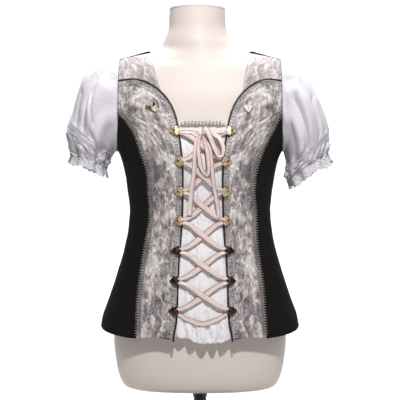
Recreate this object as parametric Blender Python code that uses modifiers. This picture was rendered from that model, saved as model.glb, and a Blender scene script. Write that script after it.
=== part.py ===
"""A dirndl blouse laced over a white insert, worn by a limbless dress form on a short stand.

Metres, +Z up. The front faces -Y and the origin is under the stand's base, on the surface it stands on.
Left and right are the wearer's: the left side is +X.
"""

import math

import bmesh
import bpy
import numpy as np
from mathutils import Matrix, Vector

# Driving sizes of the cloth.
WALL = 0.0014
SLEEVE_WALL = 0.0012
SEAM_GAP = 0.0003
BUST_RISE = 0.013
BUST_X = 0.076
BUST_Z = 0.618
BUST_SPREAD_X = 0.036
BUST_SPREAD_Z = 0.044

# Half width, depth to the front and back, and corner squareness (2 is an ellipse) of the worn cloth at each height.
CLOTH_SECTIONS = (
    # z, half_width, front, back, squareness
    (0.240, 0.2010, 0.1290, 0.1370, 2.15),
    (0.282, 0.1985, 0.1260, 0.1330, 2.15),
    (0.310, 0.1945, 0.1235, 0.1290, 2.15),
    (0.342, 0.1835, 0.1200, 0.1230, 2.15),
    (0.374, 0.1725, 0.1160, 0.1160, 2.20),
    (0.422, 0.1575, 0.1090, 0.1050, 2.20),
    (0.454, 0.1490, 0.1045, 0.0985, 2.20),
    (0.486, 0.1430, 0.1010, 0.0940, 2.20),
    (0.518, 0.1400, 0.1000, 0.0920, 2.20),
    (0.550, 0.1430, 0.1035, 0.0925, 2.20),
    (0.582, 0.1475, 0.1090, 0.0950, 2.20),
    (0.612, 0.1530, 0.1135, 0.0985, 2.25),
    (0.628, 0.1580, 0.1145, 0.1000, 2.30),
    (0.642, 0.1640, 0.1140, 0.1010, 2.35),
    (0.660, 0.1690, 0.1125, 0.1020, 2.45),
    (0.700, 0.1760, 0.1070, 0.1020, 2.60),
    (0.740, 0.1800, 0.0980, 0.0980, 2.60),
    (0.780, 0.1780, 0.0860, 0.0880, 2.30),
    (0.804, 0.1720, 0.0780, 0.0780, 1.95),
    (0.817, 0.1650, 0.0730, 0.0730, 1.70),
    (0.823, 0.1600, 0.0710, 0.0710, 1.60),
    (0.829, 0.1400, 0.0695, 0.0695, 1.55),
    (0.835, 0.1190, 0.0680, 0.0680, 1.55),
    (0.841, 0.0985, 0.0665, 0.0665, 1.60),
    (0.848, 0.0850, 0.0650, 0.0650, 1.75),
)

# The dress form, the same way. It is loose under the waist and hem and meets the cloth at the shoulders.
FORM_SECTIONS = (
    # z, half_width, front, back, squareness
    (0.160, 0.1390, 0.0840, 0.0900, 2.30),
    (0.163, 0.1480, 0.0910, 0.0970, 2.30),
    (0.172, 0.1550, 0.0960, 0.1030, 2.25),
    (0.190, 0.1615, 0.1000, 0.1080, 2.25),
    (0.220, 0.1670, 0.1030, 0.1130, 2.20),
    (0.262, 0.1715, 0.1050, 0.1160, 2.20),
    (0.310, 0.1680, 0.1050, 0.1120, 2.20),
    (0.360, 0.1580, 0.1020, 0.1030, 2.20),
    (0.422, 0.1450, 0.0960, 0.0920, 2.20),
    (0.486, 0.1340, 0.0910, 0.0840, 2.20),
    (0.518, 0.1320, 0.0905, 0.0830, 2.20),
    (0.550, 0.1350, 0.0940, 0.0850, 2.20),
    (0.582, 0.1400, 0.1010, 0.0890, 2.20),
    (0.628, 0.1510, 0.1065, 0.0950, 2.30),
    (0.660, 0.1640, 0.1050, 0.0960, 2.45),
    (0.700, 0.1710, 0.1000, 0.0965, 2.60),
    (0.740, 0.1750, 0.0935, 0.0930, 2.60),
    (0.780, 0.1735, 0.0825, 0.0840, 2.30),
    (0.802, 0.1692, 0.0762, 0.0763, 1.95),
    (0.8132, 0.1605, 0.0700, 0.0680, 1.70),
    (0.8186, 0.1565, 0.0683, 0.0660, 1.60),
    (0.8242, 0.1375, 0.0670, 0.0645, 1.55),
    (0.8302, 0.1165, 0.0655, 0.0630, 1.55),
    (0.8368, 0.0965, 0.0640, 0.0640, 1.60),
    (0.8438, 0.0820, 0.0627, 0.0627, 1.75),
    (0.8530, 0.0725, 0.0617, 0.0617, 1.90),
    (0.8660, 0.0640, 0.0590, 0.0590, 2.00),
    (0.8860, 0.0575, 0.0560, 0.0560, 2.00),
    (0.9200, 0.0556, 0.0550, 0.0550, 2.00),
    (0.9265, 0.0540, 0.0535, 0.0535, 2.00),
)
ARM_PLATE_X = 0.1575
NECK_LEAN_X = -0.0055
FORM_POINTS = 32

# Seams as seen from the front: height and distance from the centre.
OPENING = (
    # z, x
    (0.274, 0.0560),
    (0.290, 0.0537),
    (0.310, 0.0500),
    (0.330, 0.0485),
    (0.391, 0.0467),
    (0.431, 0.0445),
    (0.514, 0.0388),
    (0.590, 0.0378),
    (0.640, 0.0415),
    (0.698, 0.0508),
)
ARCH = (
    # x, z
    (0.0508, 0.6980),
    (0.0571, 0.7165),
    (0.0668, 0.7345),
    (0.0786, 0.7490),
    (0.0933, 0.7615),
    (0.1110, 0.7715),
    (0.1320, 0.7765),
    (0.1590, 0.7755),
)
# The bodice is turned a little to the wearer's left, so the two side seams differ.
SIDE_FRONT_SEAM = {
    "left": (
        # z, x
        (0.2830, 0.1262),
        (0.3385, 0.1228),
        (0.3873, 0.1192),
        (0.4117, 0.1157),
        (0.4364, 0.1119),
        (0.4608, 0.1092),
        (0.4852, 0.1085),
        (0.5098, 0.1076),
        (0.5343, 0.1056),
        (0.5587, 0.1038),
        (0.5831, 0.1050),
        (0.6076, 0.1100),
        (0.6322, 0.1182),
        (0.6566, 0.1300),
        (0.6780, 0.1415),
        (0.6960, 0.1505),
        (0.7120, 0.1590),
    ),
    "right": (
        # z, x
        (0.2830, 0.1212),
        (0.3385, 0.1196),
        (0.3873, 0.1155),
        (0.4364, 0.1084),
        (0.4608, 0.1038),
        (0.4852, 0.0995),
        (0.5109, 0.0962),
        (0.5330, 0.0962),
        (0.5551, 0.0978),
        (0.5771, 0.0985),
        (0.5992, 0.1010),
        (0.6213, 0.1086),
        (0.6433, 0.1159),
        (0.6654, 0.1238),
        (0.6820, 0.1330),
        (0.6980, 0.1450),
        (0.7120, 0.1590),
    ),
}
NECKLINE = (
    # z, x
    (0.7480, 0.0776),
    (0.7910, 0.0875),
    (0.8200, 0.0945),
    (0.8405, 0.0996),
)
BACK_NECKLINE = (
    # x, z
    (0.0985, 0.8402),
    (0.0940, 0.8330),
    (0.0800, 0.8215),
    (0.0550, 0.8120),
    (0.0280, 0.8072),
    (0.0000, 0.8060),
)
# The opening sits a little to the wearer's left of the body's middle.
OPENING_CENTRE = (
    # z, x
    (0.240, 0.0053),
    (0.700, 0.0053),
    (0.760, 0.0040),
    (0.800, 0.0000),
    (0.848, 0.0000),
)
NECK_JOIN_X = 0.0776
NECK_POINT_X = 0.0996
SHOULDER_SEAM_ANGLE = math.radians(68)
SHOULDER_GAP = 0.0013
SIDE_SEAM_ANGLE = math.radians(94)
SHOULDER_Z = 0.8230
SHOULDER_LOW_Z = 0.790
SHOULDER_TOP_Z = 0.847
ARMHOLE_X = 0.1600
ARMPIT_FLARE = 0.0030
ARMPIT_Z = 0.6415

HEM = (
    # angle from the front in degrees, z
    (0, 0.2825),
    (22, 0.2815),
    (38, 0.2780),
    (56, 0.2815),
    (72, 0.2870),
    (90, 0.2930),
    (130, 0.2900),
    (180, 0.2870),
)

PIPING_RADIUS = 0.0017
PIPING_LIFT = 0.0009
BAND_WIDTH = 0.0105
BAND_WALL = 0.0010
GIMP_WIDTH = 0.0080
GIMP_WALL = 0.0012
ON_CLOTH = 0.0009

INSERT_TOP_Z = 0.681
INSERT_WALL = 0.0012
INSERT_DEPTH = 0.0024
# How far the insert reaches behind each front; the ruffle's free corners draw in.
INSERT_TUCK = (
    # z, x
    (0.2700, -0.0050),
    (0.2830, 0.0010),
    (0.3080, 0.0070),
)
RUFFLE_TOP_Z = 0.330
RUFFLE_LOW_Z = 0.2700
RUFFLE_SIDE_Z = 0.2800
RUFFLE_WAVES = 6
RUFFLE_DEPTH = 0.0030
INSERT_LACE_HEIGHT = 0.0110

HOOK_ROWS = 7
HOOK_TOP_Z = 0.6722
HOOK_LOW_Z = 0.3315
HOOK_LENGTH = 0.0200
HOOK_HEIGHT = 0.0150
HOOK_WALL = 0.0012
HOOK_OVERHANG = 0.0030
HOOK_INNER_LIFT = 0.0047
HOOK_OUTER_LIFT = 0.0010

RIBBON_WIDTH = 0.0115
RIBBON_WALL = 0.0008

POLE_RADIUS = 0.0125
BASE_RADIUS = 0.150
BASE_THICKNESS = 0.006
SOCKET_RADIUS = 0.024
SOCKET_THICKNESS = 0.010

COLOURS = {
    # name: red, green, blue, roughness, metallic
    "brocade": (0.60, 0.58, 0.59, 0.45, 0.0),
    "black_cloth": (0.012, 0.011, 0.012, 0.85, 0.0),
    "black_piping": (0.010, 0.010, 0.010, 0.5, 0.0),
    "white_cotton": (0.84, 0.82, 0.86, 0.8, 0.0),
    "white_lace": (0.80, 0.77, 0.80, 0.8, 0.0),
    "grey_lace": (0.38, 0.39, 0.37, 0.7, 0.0),
    "silver_gimp": (0.28, 0.28, 0.27, 0.6, 0.1),
    "pink_satin": (0.78, 0.60, 0.56, 0.3, 0.0),
    "brass": (0.62, 0.44, 0.20, 0.35, 1.0),
    "cream_enamel": (0.80, 0.76, 0.70, 0.3, 0.0),
    "form_shell": (0.80, 0.76, 0.73, 0.35, 0.0),
    "black_steel": (0.02, 0.02, 0.02, 0.35, 0.7),
}


def clear_scene():
    for old in list(bpy.data.objects):
        bpy.data.objects.remove(old)


def material(name):
    made = bpy.data.materials.get(name)
    if made is None:
        red, green, blue, roughness, metallic = COLOURS[name]
        made = bpy.data.materials.new(name)
        made.use_nodes = True
        shader = made.node_tree.nodes["Principled BSDF"]
        shader.inputs["Base Color"].default_value = (red, green, blue, 1.0)
        shader.inputs["Roughness"].default_value = roughness
        shader.inputs["Metallic"].default_value = metallic
    return made


def smooth_steps(fraction):
    fraction = np.clip(fraction, 0.0, 1.0)
    return fraction * fraction * (3.0 - 2.0 * fraction)


def eased(table, value):
    """The table's further columns at a value of its first, by a cubic that never overshoots its rows."""
    rows = np.array(table, float)
    at, columns = rows[:, 0], rows[:, 1:]
    steps = np.diff(at)
    slopes = np.diff(columns, axis=0) / steps[:, None]
    tangents = np.vstack([slopes[:1], np.zeros((len(at) - 2, columns.shape[1])), slopes[-1:]])
    before, after = slopes[:-1], slopes[1:]
    same_way = before * after > 0
    total = np.where(same_way, before + after, 1.0)
    tangents[1:-1] = np.where(same_way, 2.0 * before * after / total, 0.0)
    value = np.clip(np.asarray(value, float), at[0], at[-1])
    row = np.clip(np.searchsorted(at, value, side="right") - 1, 0, len(at) - 2)
    step = steps[row][..., None]
    t = ((value - at[row]) / steps[row])[..., None]
    start, end = columns[row], columns[row + 1]
    return (
        (2 * t**3 - 3 * t**2 + 1) * start
        + (t**3 - 2 * t**2 + t) * step * tangents[row]
        + (-2 * t**3 + 3 * t**2) * end
        + (t**3 - t**2) * step * tangents[row + 1]
    )


def bust_rise(x, z):
    across = (np.abs(x) - BUST_X) / BUST_SPREAD_X
    up = (z - BUST_Z) / BUST_SPREAD_Z
    return BUST_RISE * np.exp(-0.5 * (across**2 + up**2))


def section_point(table, angle, z):
    """The point of a body at an angle from its front and a height."""
    angle, z = np.broadcast_arrays(np.asarray(angle, float), np.asarray(z, float))
    half_width, front, back, square = np.moveaxis(eased(table, z), -1, 0)
    sine, cosine = np.sin(angle), np.cos(angle)
    x = half_width * np.sign(sine) * np.abs(sine) ** (2 / square)
    depth = np.where(cosine > 0, front + bust_rise(x, z), back)
    y = -depth * np.sign(cosine) * np.abs(cosine) ** (2 / square)
    return np.stack([x, y, z], axis=-1)


def cloth_point(angle, z, lift=0.0):
    """The point of the worn cloth's outside, moved out by lift along the cloth's normal."""
    step = 1e-3
    place = section_point(CLOTH_SECTIONS, angle, z)
    around = section_point(CLOTH_SECTIONS, angle + step, z) - section_point(CLOTH_SECTIONS, angle - step, z)
    upward = section_point(CLOTH_SECTIONS, angle, z + step) - section_point(CLOTH_SECTIONS, angle, z - step)
    normal = np.cross(around, upward)
    normal /= np.maximum(np.linalg.norm(normal, axis=-1, keepdims=True), 1e-12)
    return place + normal * np.asarray(lift)[..., None]


def centre_x(z):
    return eased(OPENING_CENTRE, z)[..., 0]


def edge_x(z, side):
    """The distance of a front edge from the body's middle."""
    return side * float(eased(OPENING, z)[0]) + float(centre_x(z))


def off_centre(rows, side):
    """Rows of height and distance from the opening's middle, turned into distances from the body's middle."""
    return [(z, x + side * float(centre_x(z))) for z, x in rows]


def angle_at(x, z):
    """The angle from the front at which the cloth has this distance from the centre."""
    half_width, square = eased(CLOTH_SECTIONS, z)[..., [0, 3]].T
    share = np.clip(np.abs(x).T / half_width, 0.0, 1.0)
    return (np.sign(x).T * np.arcsin(share ** (square / 2))).T


def armhole_x(z):
    return ARMHOLE_X + ARMPIT_FLARE * smooth_steps((0.700 - z) / 0.055)


def along(points, count):
    """Points spaced evenly by real length along a line of angles and heights on the cloth."""
    places = cloth_point(points[:, 0], points[:, 1])
    lengths = np.concatenate([[0.0], np.cumsum(np.linalg.norm(np.diff(places, axis=0), axis=1))])
    wanted = np.linspace(0.0, lengths[-1], count)
    return np.stack([np.interp(wanted, lengths, points[:, k]) for k in range(2)], axis=1)


def seen_line(table, count, aside=0.0):
    """A seam given by height and distance from the centre, as angles and heights, moved aside on the cloth."""
    rows = np.array(table, float)
    steps = np.linspace(0.0, 1.0, len(rows))
    fine = np.linspace(0.0, 1.0, 25 * len(rows))
    line = eased(np.column_stack([steps, rows]), fine)[:, ::-1]
    if aside:
        away = np.gradient(line, axis=0)
        away /= np.linalg.norm(away, axis=1, keepdims=True)
        line = line + aside * np.column_stack([away[:, 1], -away[:, 0]])
    return along(np.column_stack([angle_at(line[:, 0], line[:, 1]), line[:, 1]]), count)


def between(start, end, count):
    return np.linspace(np.asarray(start, float), np.asarray(end, float), count)


def height_at(angle, x):
    """The height, near the shoulder, at which the cloth has this distance from the centre at an angle."""
    z = np.linspace(SHOULDER_LOW_Z, SHOULDER_TOP_Z, 400)
    reach = section_point(CLOTH_SECTIONS, angle, z)[:, 0]
    return float(np.interp(-x, -reach, z))


def hem_height(angle):
    turned = np.degrees(np.abs((angle + math.pi) % (2 * math.pi) - math.pi))
    return eased(HEM, turned)[..., 0]


def armhole_line(low_z, high_z, count, back=False):
    """A stretch of the armhole's edge, upwards, at the front or the back."""
    share = 0.5 - 0.5 * np.cos(np.linspace(0.0, math.pi, 200))
    z = low_z + (high_z - low_z) * share
    angle = angle_at(armhole_x(z), z)
    if back:
        angle = math.pi - angle
    return along(np.column_stack([angle, z]), count)


def patch(low, high, left, right):
    """A four-sided patch filled between its edges. Low and high run left to right, the others upwards."""
    s = np.linspace(0.0, 1.0, len(low))[None, :, None]
    t = np.linspace(0.0, 1.0, len(left))[:, None, None]
    ruled = (1 - t) * low[None] + t * high[None] + (1 - s) * left[:, None] + s * right[:, None]
    corners = (1 - s) * (1 - t) * low[0] + s * (1 - t) * low[-1] + (1 - s) * t * high[0] + s * t * high[-1]
    return ruled - corners


def grid_faces(points, closed, turned):
    """Triangles over a grid of points, each cell cut along its shorter diagonal."""
    rows, columns = points.shape[:2]
    spots = points.reshape(-1, 3)
    faces = []
    for row in range(rows - 1):
        for column in range(columns if closed else columns - 1):
            beside = (column + 1) % columns
            a, b = row * columns + column, row * columns + beside
            c, d = b + columns, a + columns
            if np.linalg.norm(spots[a] - spots[c]) < np.linalg.norm(spots[b] - spots[d]):
                cell = ((a, b, c), (a, c, d))
            else:
                cell = ((a, b, d), (b, c, d))
            faces.extend(face[::-1] if turned else face for face in cell)
    return faces


def shell(name, points, wall, finish, closed=False, turned=False):
    """A wall whose outside passes through a grid of points, thickened inwards by Solidify."""
    mesh = bpy.data.meshes.new(name)
    mesh.from_pydata(points.reshape(-1, 3).tolist(), [], grid_faces(points, closed, turned))
    mesh.shade_smooth()
    made = place(name, mesh, finish)
    thick = made.modifiers.new("Wall", "SOLIDIFY")
    thick.thickness = wall
    thick.offset = -1.0
    thick.use_even_offset = False
    return made


def walled(name, outside, inside, finish, turned=False):
    """A closed wall between two grids of points of the same shape, as for a panel cut from the cloth."""
    rows, columns = outside.shape[:2]
    count = rows * columns
    outer = grid_faces(outside, False, turned)
    inner = [tuple(count + k for k in face[::-1]) for face in outer]
    rim = (
        [k for k in range(columns)]
        + [row * columns + columns - 1 for row in range(1, rows)]
        + [(rows - 1) * columns + k for k in range(columns - 2, -1, -1)]
        + [row * columns for row in range(rows - 2, 0, -1)]
    )
    edges = [(b, a, count + a, count + b) for a, b in zip(rim, rim[1:] + rim[:1])]
    if turned:
        edges = [face[::-1] for face in edges]
    mesh = bpy.data.meshes.new(name)
    spots = np.concatenate([outside.reshape(-1, 3), inside.reshape(-1, 3)])
    mesh.from_pydata(spots.tolist(), [], outer + inner + edges)
    mesh.shade_smooth()
    return place(name, mesh, finish)


def place(name, data, finish):
    made = bpy.data.objects.new(name, data)
    made.data.materials.clear()
    made.data.materials.append(material(finish))
    bpy.data.collections["dirndl_blouse"].objects.link(made)
    return made


def panel(name, grid, side, wall, finish, lift=0.0):
    """A cloth panel from a grid of angles and heights on the wearer's left, mirrored for the right side."""
    lift = np.broadcast_to(lift, grid.shape[:2])
    outside = cloth_point(grid[..., 0], grid[..., 1], lift)
    inside = cloth_point(grid[..., 0], grid[..., 1], lift - wall)
    outside[..., 0] *= side
    inside[..., 0] *= side
    return walled(name, outside, inside, finish, turned=side < 0)


SIDES = (("left", 1), ("right", -1))
SEAM_ROWS = 16
ARM_FRONT_ROWS = 4
ARCH_SHARE = 0.86
BACK_ARM_ROWS = 12
BACK_SHOULDER_COLUMNS = 3
BACK_NECK_COLUMNS = 5
PANEL_COLUMNS = 7
EDGE_TO_PIPING = PIPING_RADIUS + SEAM_GAP
HALF_GAP = SEAM_GAP / 2


def front_edge(aside, side):
    """The line of the front edge and the arched seam above it, moved aside on the cloth."""
    whole = off_centre(list(OPENING) + [(z, x) for x, z in ARCH[1:]], side)
    whole[-1] = (whole[-1][0], ARCH[-1][0])
    return seen_line(whole, 120, aside)


def front_panels():
    """The patterned fronts, from the hem up to the arched seam."""
    for word, side in SIDES:
        edge = front_edge(EDGE_TO_PIPING, side)
        cut = int(round(ARCH_SHARE * (len(edge) - 1)))
        top = along(edge[cut:], PANEL_COLUMNS)
        seam = seen_line(SIDE_FRONT_SEAM[word], SEAM_ROWS, -HALF_GAP)
        seam[0, 1] = hem_height(seam[0, 0])
        armhole = armhole_line(seam[-1, 1], edge[-1, 1], ARM_FRONT_ROWS + 1)
        outer = np.vstack([seam, armhole[1:-1], top[-1:]])
        inner = along(edge[: cut + 1], len(outer))
        inner[0, 1] = hem_height(inner[0, 0])
        low = between(inner[0], outer[0], PANEL_COLUMNS)
        low[:, 1] = hem_height(low[:, 0])
        panel(f"front_panel_{word}", patch(low, top, inner, outer), side, WALL, "brocade")


def yokes():
    """The upper fronts, from the arched seam to the shoulder seam."""
    neck_point = (SHOULDER_SEAM_ANGLE, height_at(SHOULDER_SEAM_ANGLE, NECK_POINT_X))
    shoulder_point = (SHOULDER_SEAM_ANGLE, height_at(SHOULDER_SEAM_ANGLE, ARMHOLE_X))
    neckline = [row for row in NECKLINE if row[0] < neck_point[1] - 0.004] + [(neck_point[1], NECK_POINT_X)]
    for word, side in SIDES:
        edge = front_edge(-EDGE_TO_PIPING, side)
        join = angle_at(np.array(NECK_JOIN_X + side * float(centre_x(0.749))), np.array(0.749))
        low = along(edge[(edge[:, 1] > 0.73) & (edge[:, 0] > join)], PANEL_COLUMNS)
        inner = seen_line(off_centre(neckline, side), 8)
        inner[0] = low[0]
        inner[-1] = neck_point
        outer = armhole_line(low[-1, 1], shoulder_point[1], 8)
        low[-1] = outer[0]
        outer[-1] = shoulder_point
        top = between(neck_point, shoulder_point, PANEL_COLUMNS)
        panel(f"yoke_{word}", patch(low, top, inner, outer), side, WALL, "brocade")


def side_panels():
    """The plain side fronts, from the patterned fronts round to the side seams."""
    back_turn = SIDE_SEAM_ANGLE - HALF_GAP / 0.17
    rise = np.linspace(hem_height(back_turn), ARMPIT_Z, SEAM_ROWS)
    side_seam = np.column_stack([np.full(SEAM_ROWS, back_turn), rise])
    for word, side in SIDES:
        seam = seen_line(SIDE_FRONT_SEAM[word], SEAM_ROWS, HALF_GAP)
        seam[0, 1] = hem_height(seam[0, 0])
        armhole = armhole_line(ARMPIT_Z, seam[-1, 1], 60)[::-1]
        top = along(np.vstack([armhole, side_seam[-1:]]), PANEL_COLUMNS + 1)
        top[0] = seam[-1]
        low = between(seam[0], side_seam[0], PANEL_COLUMNS + 1)
        low[:, 1] = hem_height(low[:, 0])
        panel(f"side_panel_{word}", patch(low, top, seam, side_seam), side, WALL, "black_cloth")


def over_the_shoulder(x):
    """The cloth's line at a distance from the centre: up the back, over the shoulder and down the front."""
    heights = np.linspace(SHOULDER_LOW_Z, SHOULDER_TOP_Z, 400)
    crest = float(np.interp(-x, -eased(CLOTH_SECTIONS, heights)[:, 0], heights))
    up = ARMPIT_Z + (crest - ARMPIT_Z) * np.sin(np.linspace(0.0, math.pi / 2, 150))
    front = angle_at(np.full(len(up), x), up)
    line = np.vstack([np.column_stack([math.pi - front, up]), np.column_stack([front, up])[::-1][1:]])
    places = section_point(CLOTH_SECTIONS, line[:, 0], line[:, 1])
    lengths = np.concatenate([[0.0], np.cumsum(np.linalg.norm(np.diff(places, axis=0), axis=1))])
    return line, lengths


def to_flat(points):
    """Angles and heights on the back or shoulder as distance from the centre and length up the cloth."""
    flat = []
    for angle, z in points:
        x = float(section_point(CLOTH_SECTIONS, angle, z)[0])
        line, lengths = over_the_shoulder(x)
        half = len(line) // 2 + 1
        if angle >= math.pi / 2:
            flat.append((x, float(np.interp(z, line[:half, 1], lengths[:half]))))
        else:
            flat.append((x, float(np.interp(-z, -line[half - 1 :, 1], lengths[half - 1 :]))))
    return np.array(flat)


def from_flat(flat):
    points = np.empty_like(flat)
    for spot in np.ndindex(flat.shape[:2]):
        line, lengths = over_the_shoulder(flat[spot][0])
        points[spot] = [np.interp(flat[spot][1], lengths, line[:, k]) for k in range(2)]
    return points


def back_panel():
    """The plain back, from one side seam to the other, over the shoulders to the shoulder seams."""
    turn = SIDE_SEAM_ANGLE + HALF_GAP / 0.17
    columns = BACK_SHOULDER_COLUMNS + BACK_NECK_COLUMNS + 1
    rise = np.linspace(hem_height(turn), ARMPIT_Z, SEAM_ROWS)
    side_seam = np.column_stack([np.full(SEAM_ROWS, turn), rise])
    low = between(side_seam[0], (math.pi, 0.0), columns)
    low[:, 1] = hem_height(low[:, 0])
    level = between(side_seam[-1], (math.pi, ARMPIT_Z), columns)
    lower = patch(low, level, side_seam, between(low[-1], level[-1], SEAM_ROWS))

    seam_angle = SHOULDER_SEAM_ANGLE + SHOULDER_GAP / 0.05
    shoulder_point = (seam_angle, height_at(seam_angle, ARMHOLE_X))
    neck_point = (seam_angle, height_at(seam_angle, NECK_POINT_X))
    up_the_back = armhole_line(ARMPIT_Z + 0.0015, SHOULDER_Z, 80, back=True)
    over_the_top = armhole_line(shoulder_point[1], SHOULDER_Z, 20)[::-1]
    armhole = np.vstack([side_seam[-1:], up_the_back, over_the_top[1:-1], [shoulder_point]])
    left = to_flat(along(armhole, BACK_ARM_ROWS))
    shoulder = between(shoulder_point, neck_point, BACK_SHOULDER_COLUMNS + 1)
    seen = eased(np.column_stack([np.linspace(0, 1, len(BACK_NECKLINE)), BACK_NECKLINE]), np.linspace(0, 1, 60))
    behind = np.column_stack([math.pi - angle_at(seen[:, 0], seen[:, 1]), seen[:, 1]])
    neckline = along(np.vstack([[neck_point], behind]), BACK_NECK_COLUMNS + 1)
    top = to_flat(np.vstack([shoulder, neckline[1:]]))
    bottom = to_flat(level)
    upper = from_flat(patch(bottom, top, left, between(bottom[-1], top[-1], BACK_ARM_ROWS)))

    half = np.concatenate([lower, upper[1:]])
    other = half[:, :-1][:, ::-1].copy()
    other[..., 0] = 2 * math.pi - other[..., 0]
    panel("back_panel", np.concatenate([half, other], axis=1), 1, WALL, "black_cloth")


def insert_half_width(z):
    return eased(OPENING, z)[..., 0] + eased(INSERT_TUCK, z)[..., 0]


def insert_panel():
    """The white insert behind the lacing, with its gathered ruffle below the hem."""
    columns, rows = 25, 11
    s = np.linspace(-1.0, 1.0, columns)[None, :]
    low_z = RUFFLE_LOW_Z + (RUFFLE_SIDE_Z - RUFFLE_LOW_Z) * np.abs(s) ** 2
    t = np.linspace(0.0, 1.0, rows)[:, None] ** 1.25
    z = low_z + (INSERT_TOP_Z - low_z) * t
    x = centre_x(z) + s * insert_half_width(z)
    free = smooth_steps((RUFFLE_TOP_Z - z) / (RUFFLE_TOP_Z - RUFFLE_LOW_Z))
    clear = smooth_steps((1.0 - np.abs(s)) / 0.25)
    wave = np.cos(s * math.pi * RUFFLE_WAVES)
    lift = -INSERT_DEPTH - 0.0009 + 0.0009 * wave * clear + RUFFLE_DEPTH * free * wave * clear
    grid = np.stack([angle_at(x, z), z], axis=-1)
    panel("insert_panel", grid, 1, INSERT_WALL, "white_cotton", lift)


def insert_lace():
    """The narrow lace that stands up from the insert's top edge."""
    columns = 17
    s = np.linspace(-1.0, 1.0, columns)[None, :]
    low = INSERT_TOP_Z + SEAM_GAP
    scallop = 0.0014 * np.abs(np.sin(s * math.pi * 4))
    z = np.vstack([low + 0 * s, low + INSERT_LACE_HEIGHT / 2 + 0 * s, low + INSERT_LACE_HEIGHT - 0.0014 + scallop])
    x = centre_x(low) + s * (insert_half_width(np.array(INSERT_TOP_Z)) - 0.0095)
    grid = np.stack([angle_at(x + 0 * z, z), z], axis=-1)
    panel("insert_lace", grid, 1, 0.0010, "grey_lace", -INSERT_DEPTH - 0.0003)


def piping():
    """The black cord sewn along each front edge and over the arched seam to the armhole."""
    for word, side in SIDES:
        line = along(front_edge(0.0, side), 30)
        line[0, 1] += 0.0006
        points = cloth_point(line[:, 0], line[:, 1], np.full(len(line), PIPING_LIFT))
        points[-1, 0] -= 0.0010
        points[:, 0] *= side
        tube(f"piping_{word}", points, PIPING_RADIUS, "black_piping")


def tube(name, points, radius, finish, resolution=1):
    curve = bpy.data.curves.new(name, "CURVE")
    curve.dimensions = "3D"
    curve.bevel_depth = radius
    curve.bevel_resolution = resolution
    curve.use_fill_caps = True
    line = curve.splines.new("POLY")
    line.points.add(len(points) - 1)
    for point, spot in zip(line.points, points):
        point.co = (*spot, 1.0)
    return place(name, curve, finish)


def strip(line_at, near, width, count, end):
    """A strip that follows a seam at two distances from it, shortened a little at its upper end."""
    grid = np.stack([along(line_at(near), count), along(line_at(near + width), count)], axis=1)
    grid[-1] = grid[-2] + end * (grid[-1] - grid[-2])
    grid[0, :, 1] = hem_height(grid[0, :, 0]) + 0.0004
    return grid


def trims():
    """The lace band inside the piping and the gimp over the side seam, laid on the fronts."""
    for word, side in SIDES:
        band = strip(lambda aside: front_edge(aside, side), EDGE_TO_PIPING + 0.0006, BAND_WIDTH, 26, 0.93)
        gimp = strip(lambda aside: seen_line(SIDE_FRONT_SEAM[word], 120, -aside), 0.0004, GIMP_WIDTH, 24, 0.85)
        panel(f"lace_band_{word}", band, side, BAND_WALL, "grey_lace", ON_CLOTH + BAND_WALL)
        panel(f"gimp_{word}", gimp[:, ::-1], side, GIMP_WALL, "silver_gimp", ON_CLOTH + GIMP_WALL)


# Puff sleeves: the outer and inner edge of each ring as seen from the front, and its half depth.
SLEEVE_RINGS = {
    "left": (
        # station, outer_x, outer_z, inner_x, inner_z, half_depth
        (1.0, 0.1960, 0.8020, 0.1690, 0.6370, 0.0680),
        (2.0, 0.2180, 0.7760, 0.1710, 0.6280, 0.0760),
        (3.0, 0.2370, 0.7380, 0.1730, 0.6200, 0.0800),
        (4.0, 0.2500, 0.7000, 0.1730, 0.6120, 0.0770),
        (5.0, 0.2550, 0.6760, 0.1720, 0.6070, 0.0700),
        (5.5, 0.2555, 0.6640, 0.1720, 0.6000, 0.0680),
        (6.3, 0.2550, 0.6480, 0.1730, 0.5910, 0.0620),
        (7.0, 0.2530, 0.6370, 0.1760, 0.5840, 0.0560),
        (8.0, 0.2640, 0.6110, 0.1820, 0.5610, 0.0640),
    ),
    "right": (
        # station, outer_x, outer_z, inner_x, inner_z, half_depth
        (1.0, 0.2040, 0.8120, 0.1690, 0.6420, 0.0680),
        (2.0, 0.2310, 0.7840, 0.1720, 0.6370, 0.0760),
        (3.0, 0.2450, 0.7450, 0.1740, 0.6340, 0.0790),
        (4.0, 0.2520, 0.7150, 0.1760, 0.6320, 0.0750),
        (5.0, 0.2600, 0.6950, 0.1785, 0.6300, 0.0700),
        (5.5, 0.2640, 0.6790, 0.1800, 0.6230, 0.0690),
        (6.3, 0.2600, 0.6560, 0.1830, 0.6140, 0.0630),
        (7.0, 0.2550, 0.6360, 0.1880, 0.6060, 0.0560),
        (8.0, 0.2610, 0.6120, 0.1850, 0.5840, 0.0630),
    ),
}
SLEEVE_POINTS = 40
SLEEVE_WAVES = 10
SLEEVE_GATHERS = (
    # station, wave depth
    (0.0, 0.0000),
    (0.4, 0.0036),
    (1.5, 0.0036),
    (3.0, 0.0026),
    (4.2, 0.0036),
    (5.0, 0.0028),
    (5.5, 0.0024),
    (6.3, 0.0034),
    (7.0, 0.0030),
    (8.0, 0.0048),
)
SLEEVE_PIECES = (
    # name, first station, last station, rings, finish
    ("sleeve_puff", 0.0, 5.0, 9, "white_cotton"),
    ("sleeve_insertion", 5.0, 5.5, 2, "white_lace"),
    ("sleeve_cuff", 5.5, 7.0, 3, "white_cotton"),
    ("sleeve_lace", 7.0, 8.0, 3, "white_lace"),
)
STATION_GAP = 0.030
ARMHOLE_STEP = 0.0016
ARMPIT_CLEARANCE = 0.0016


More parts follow.
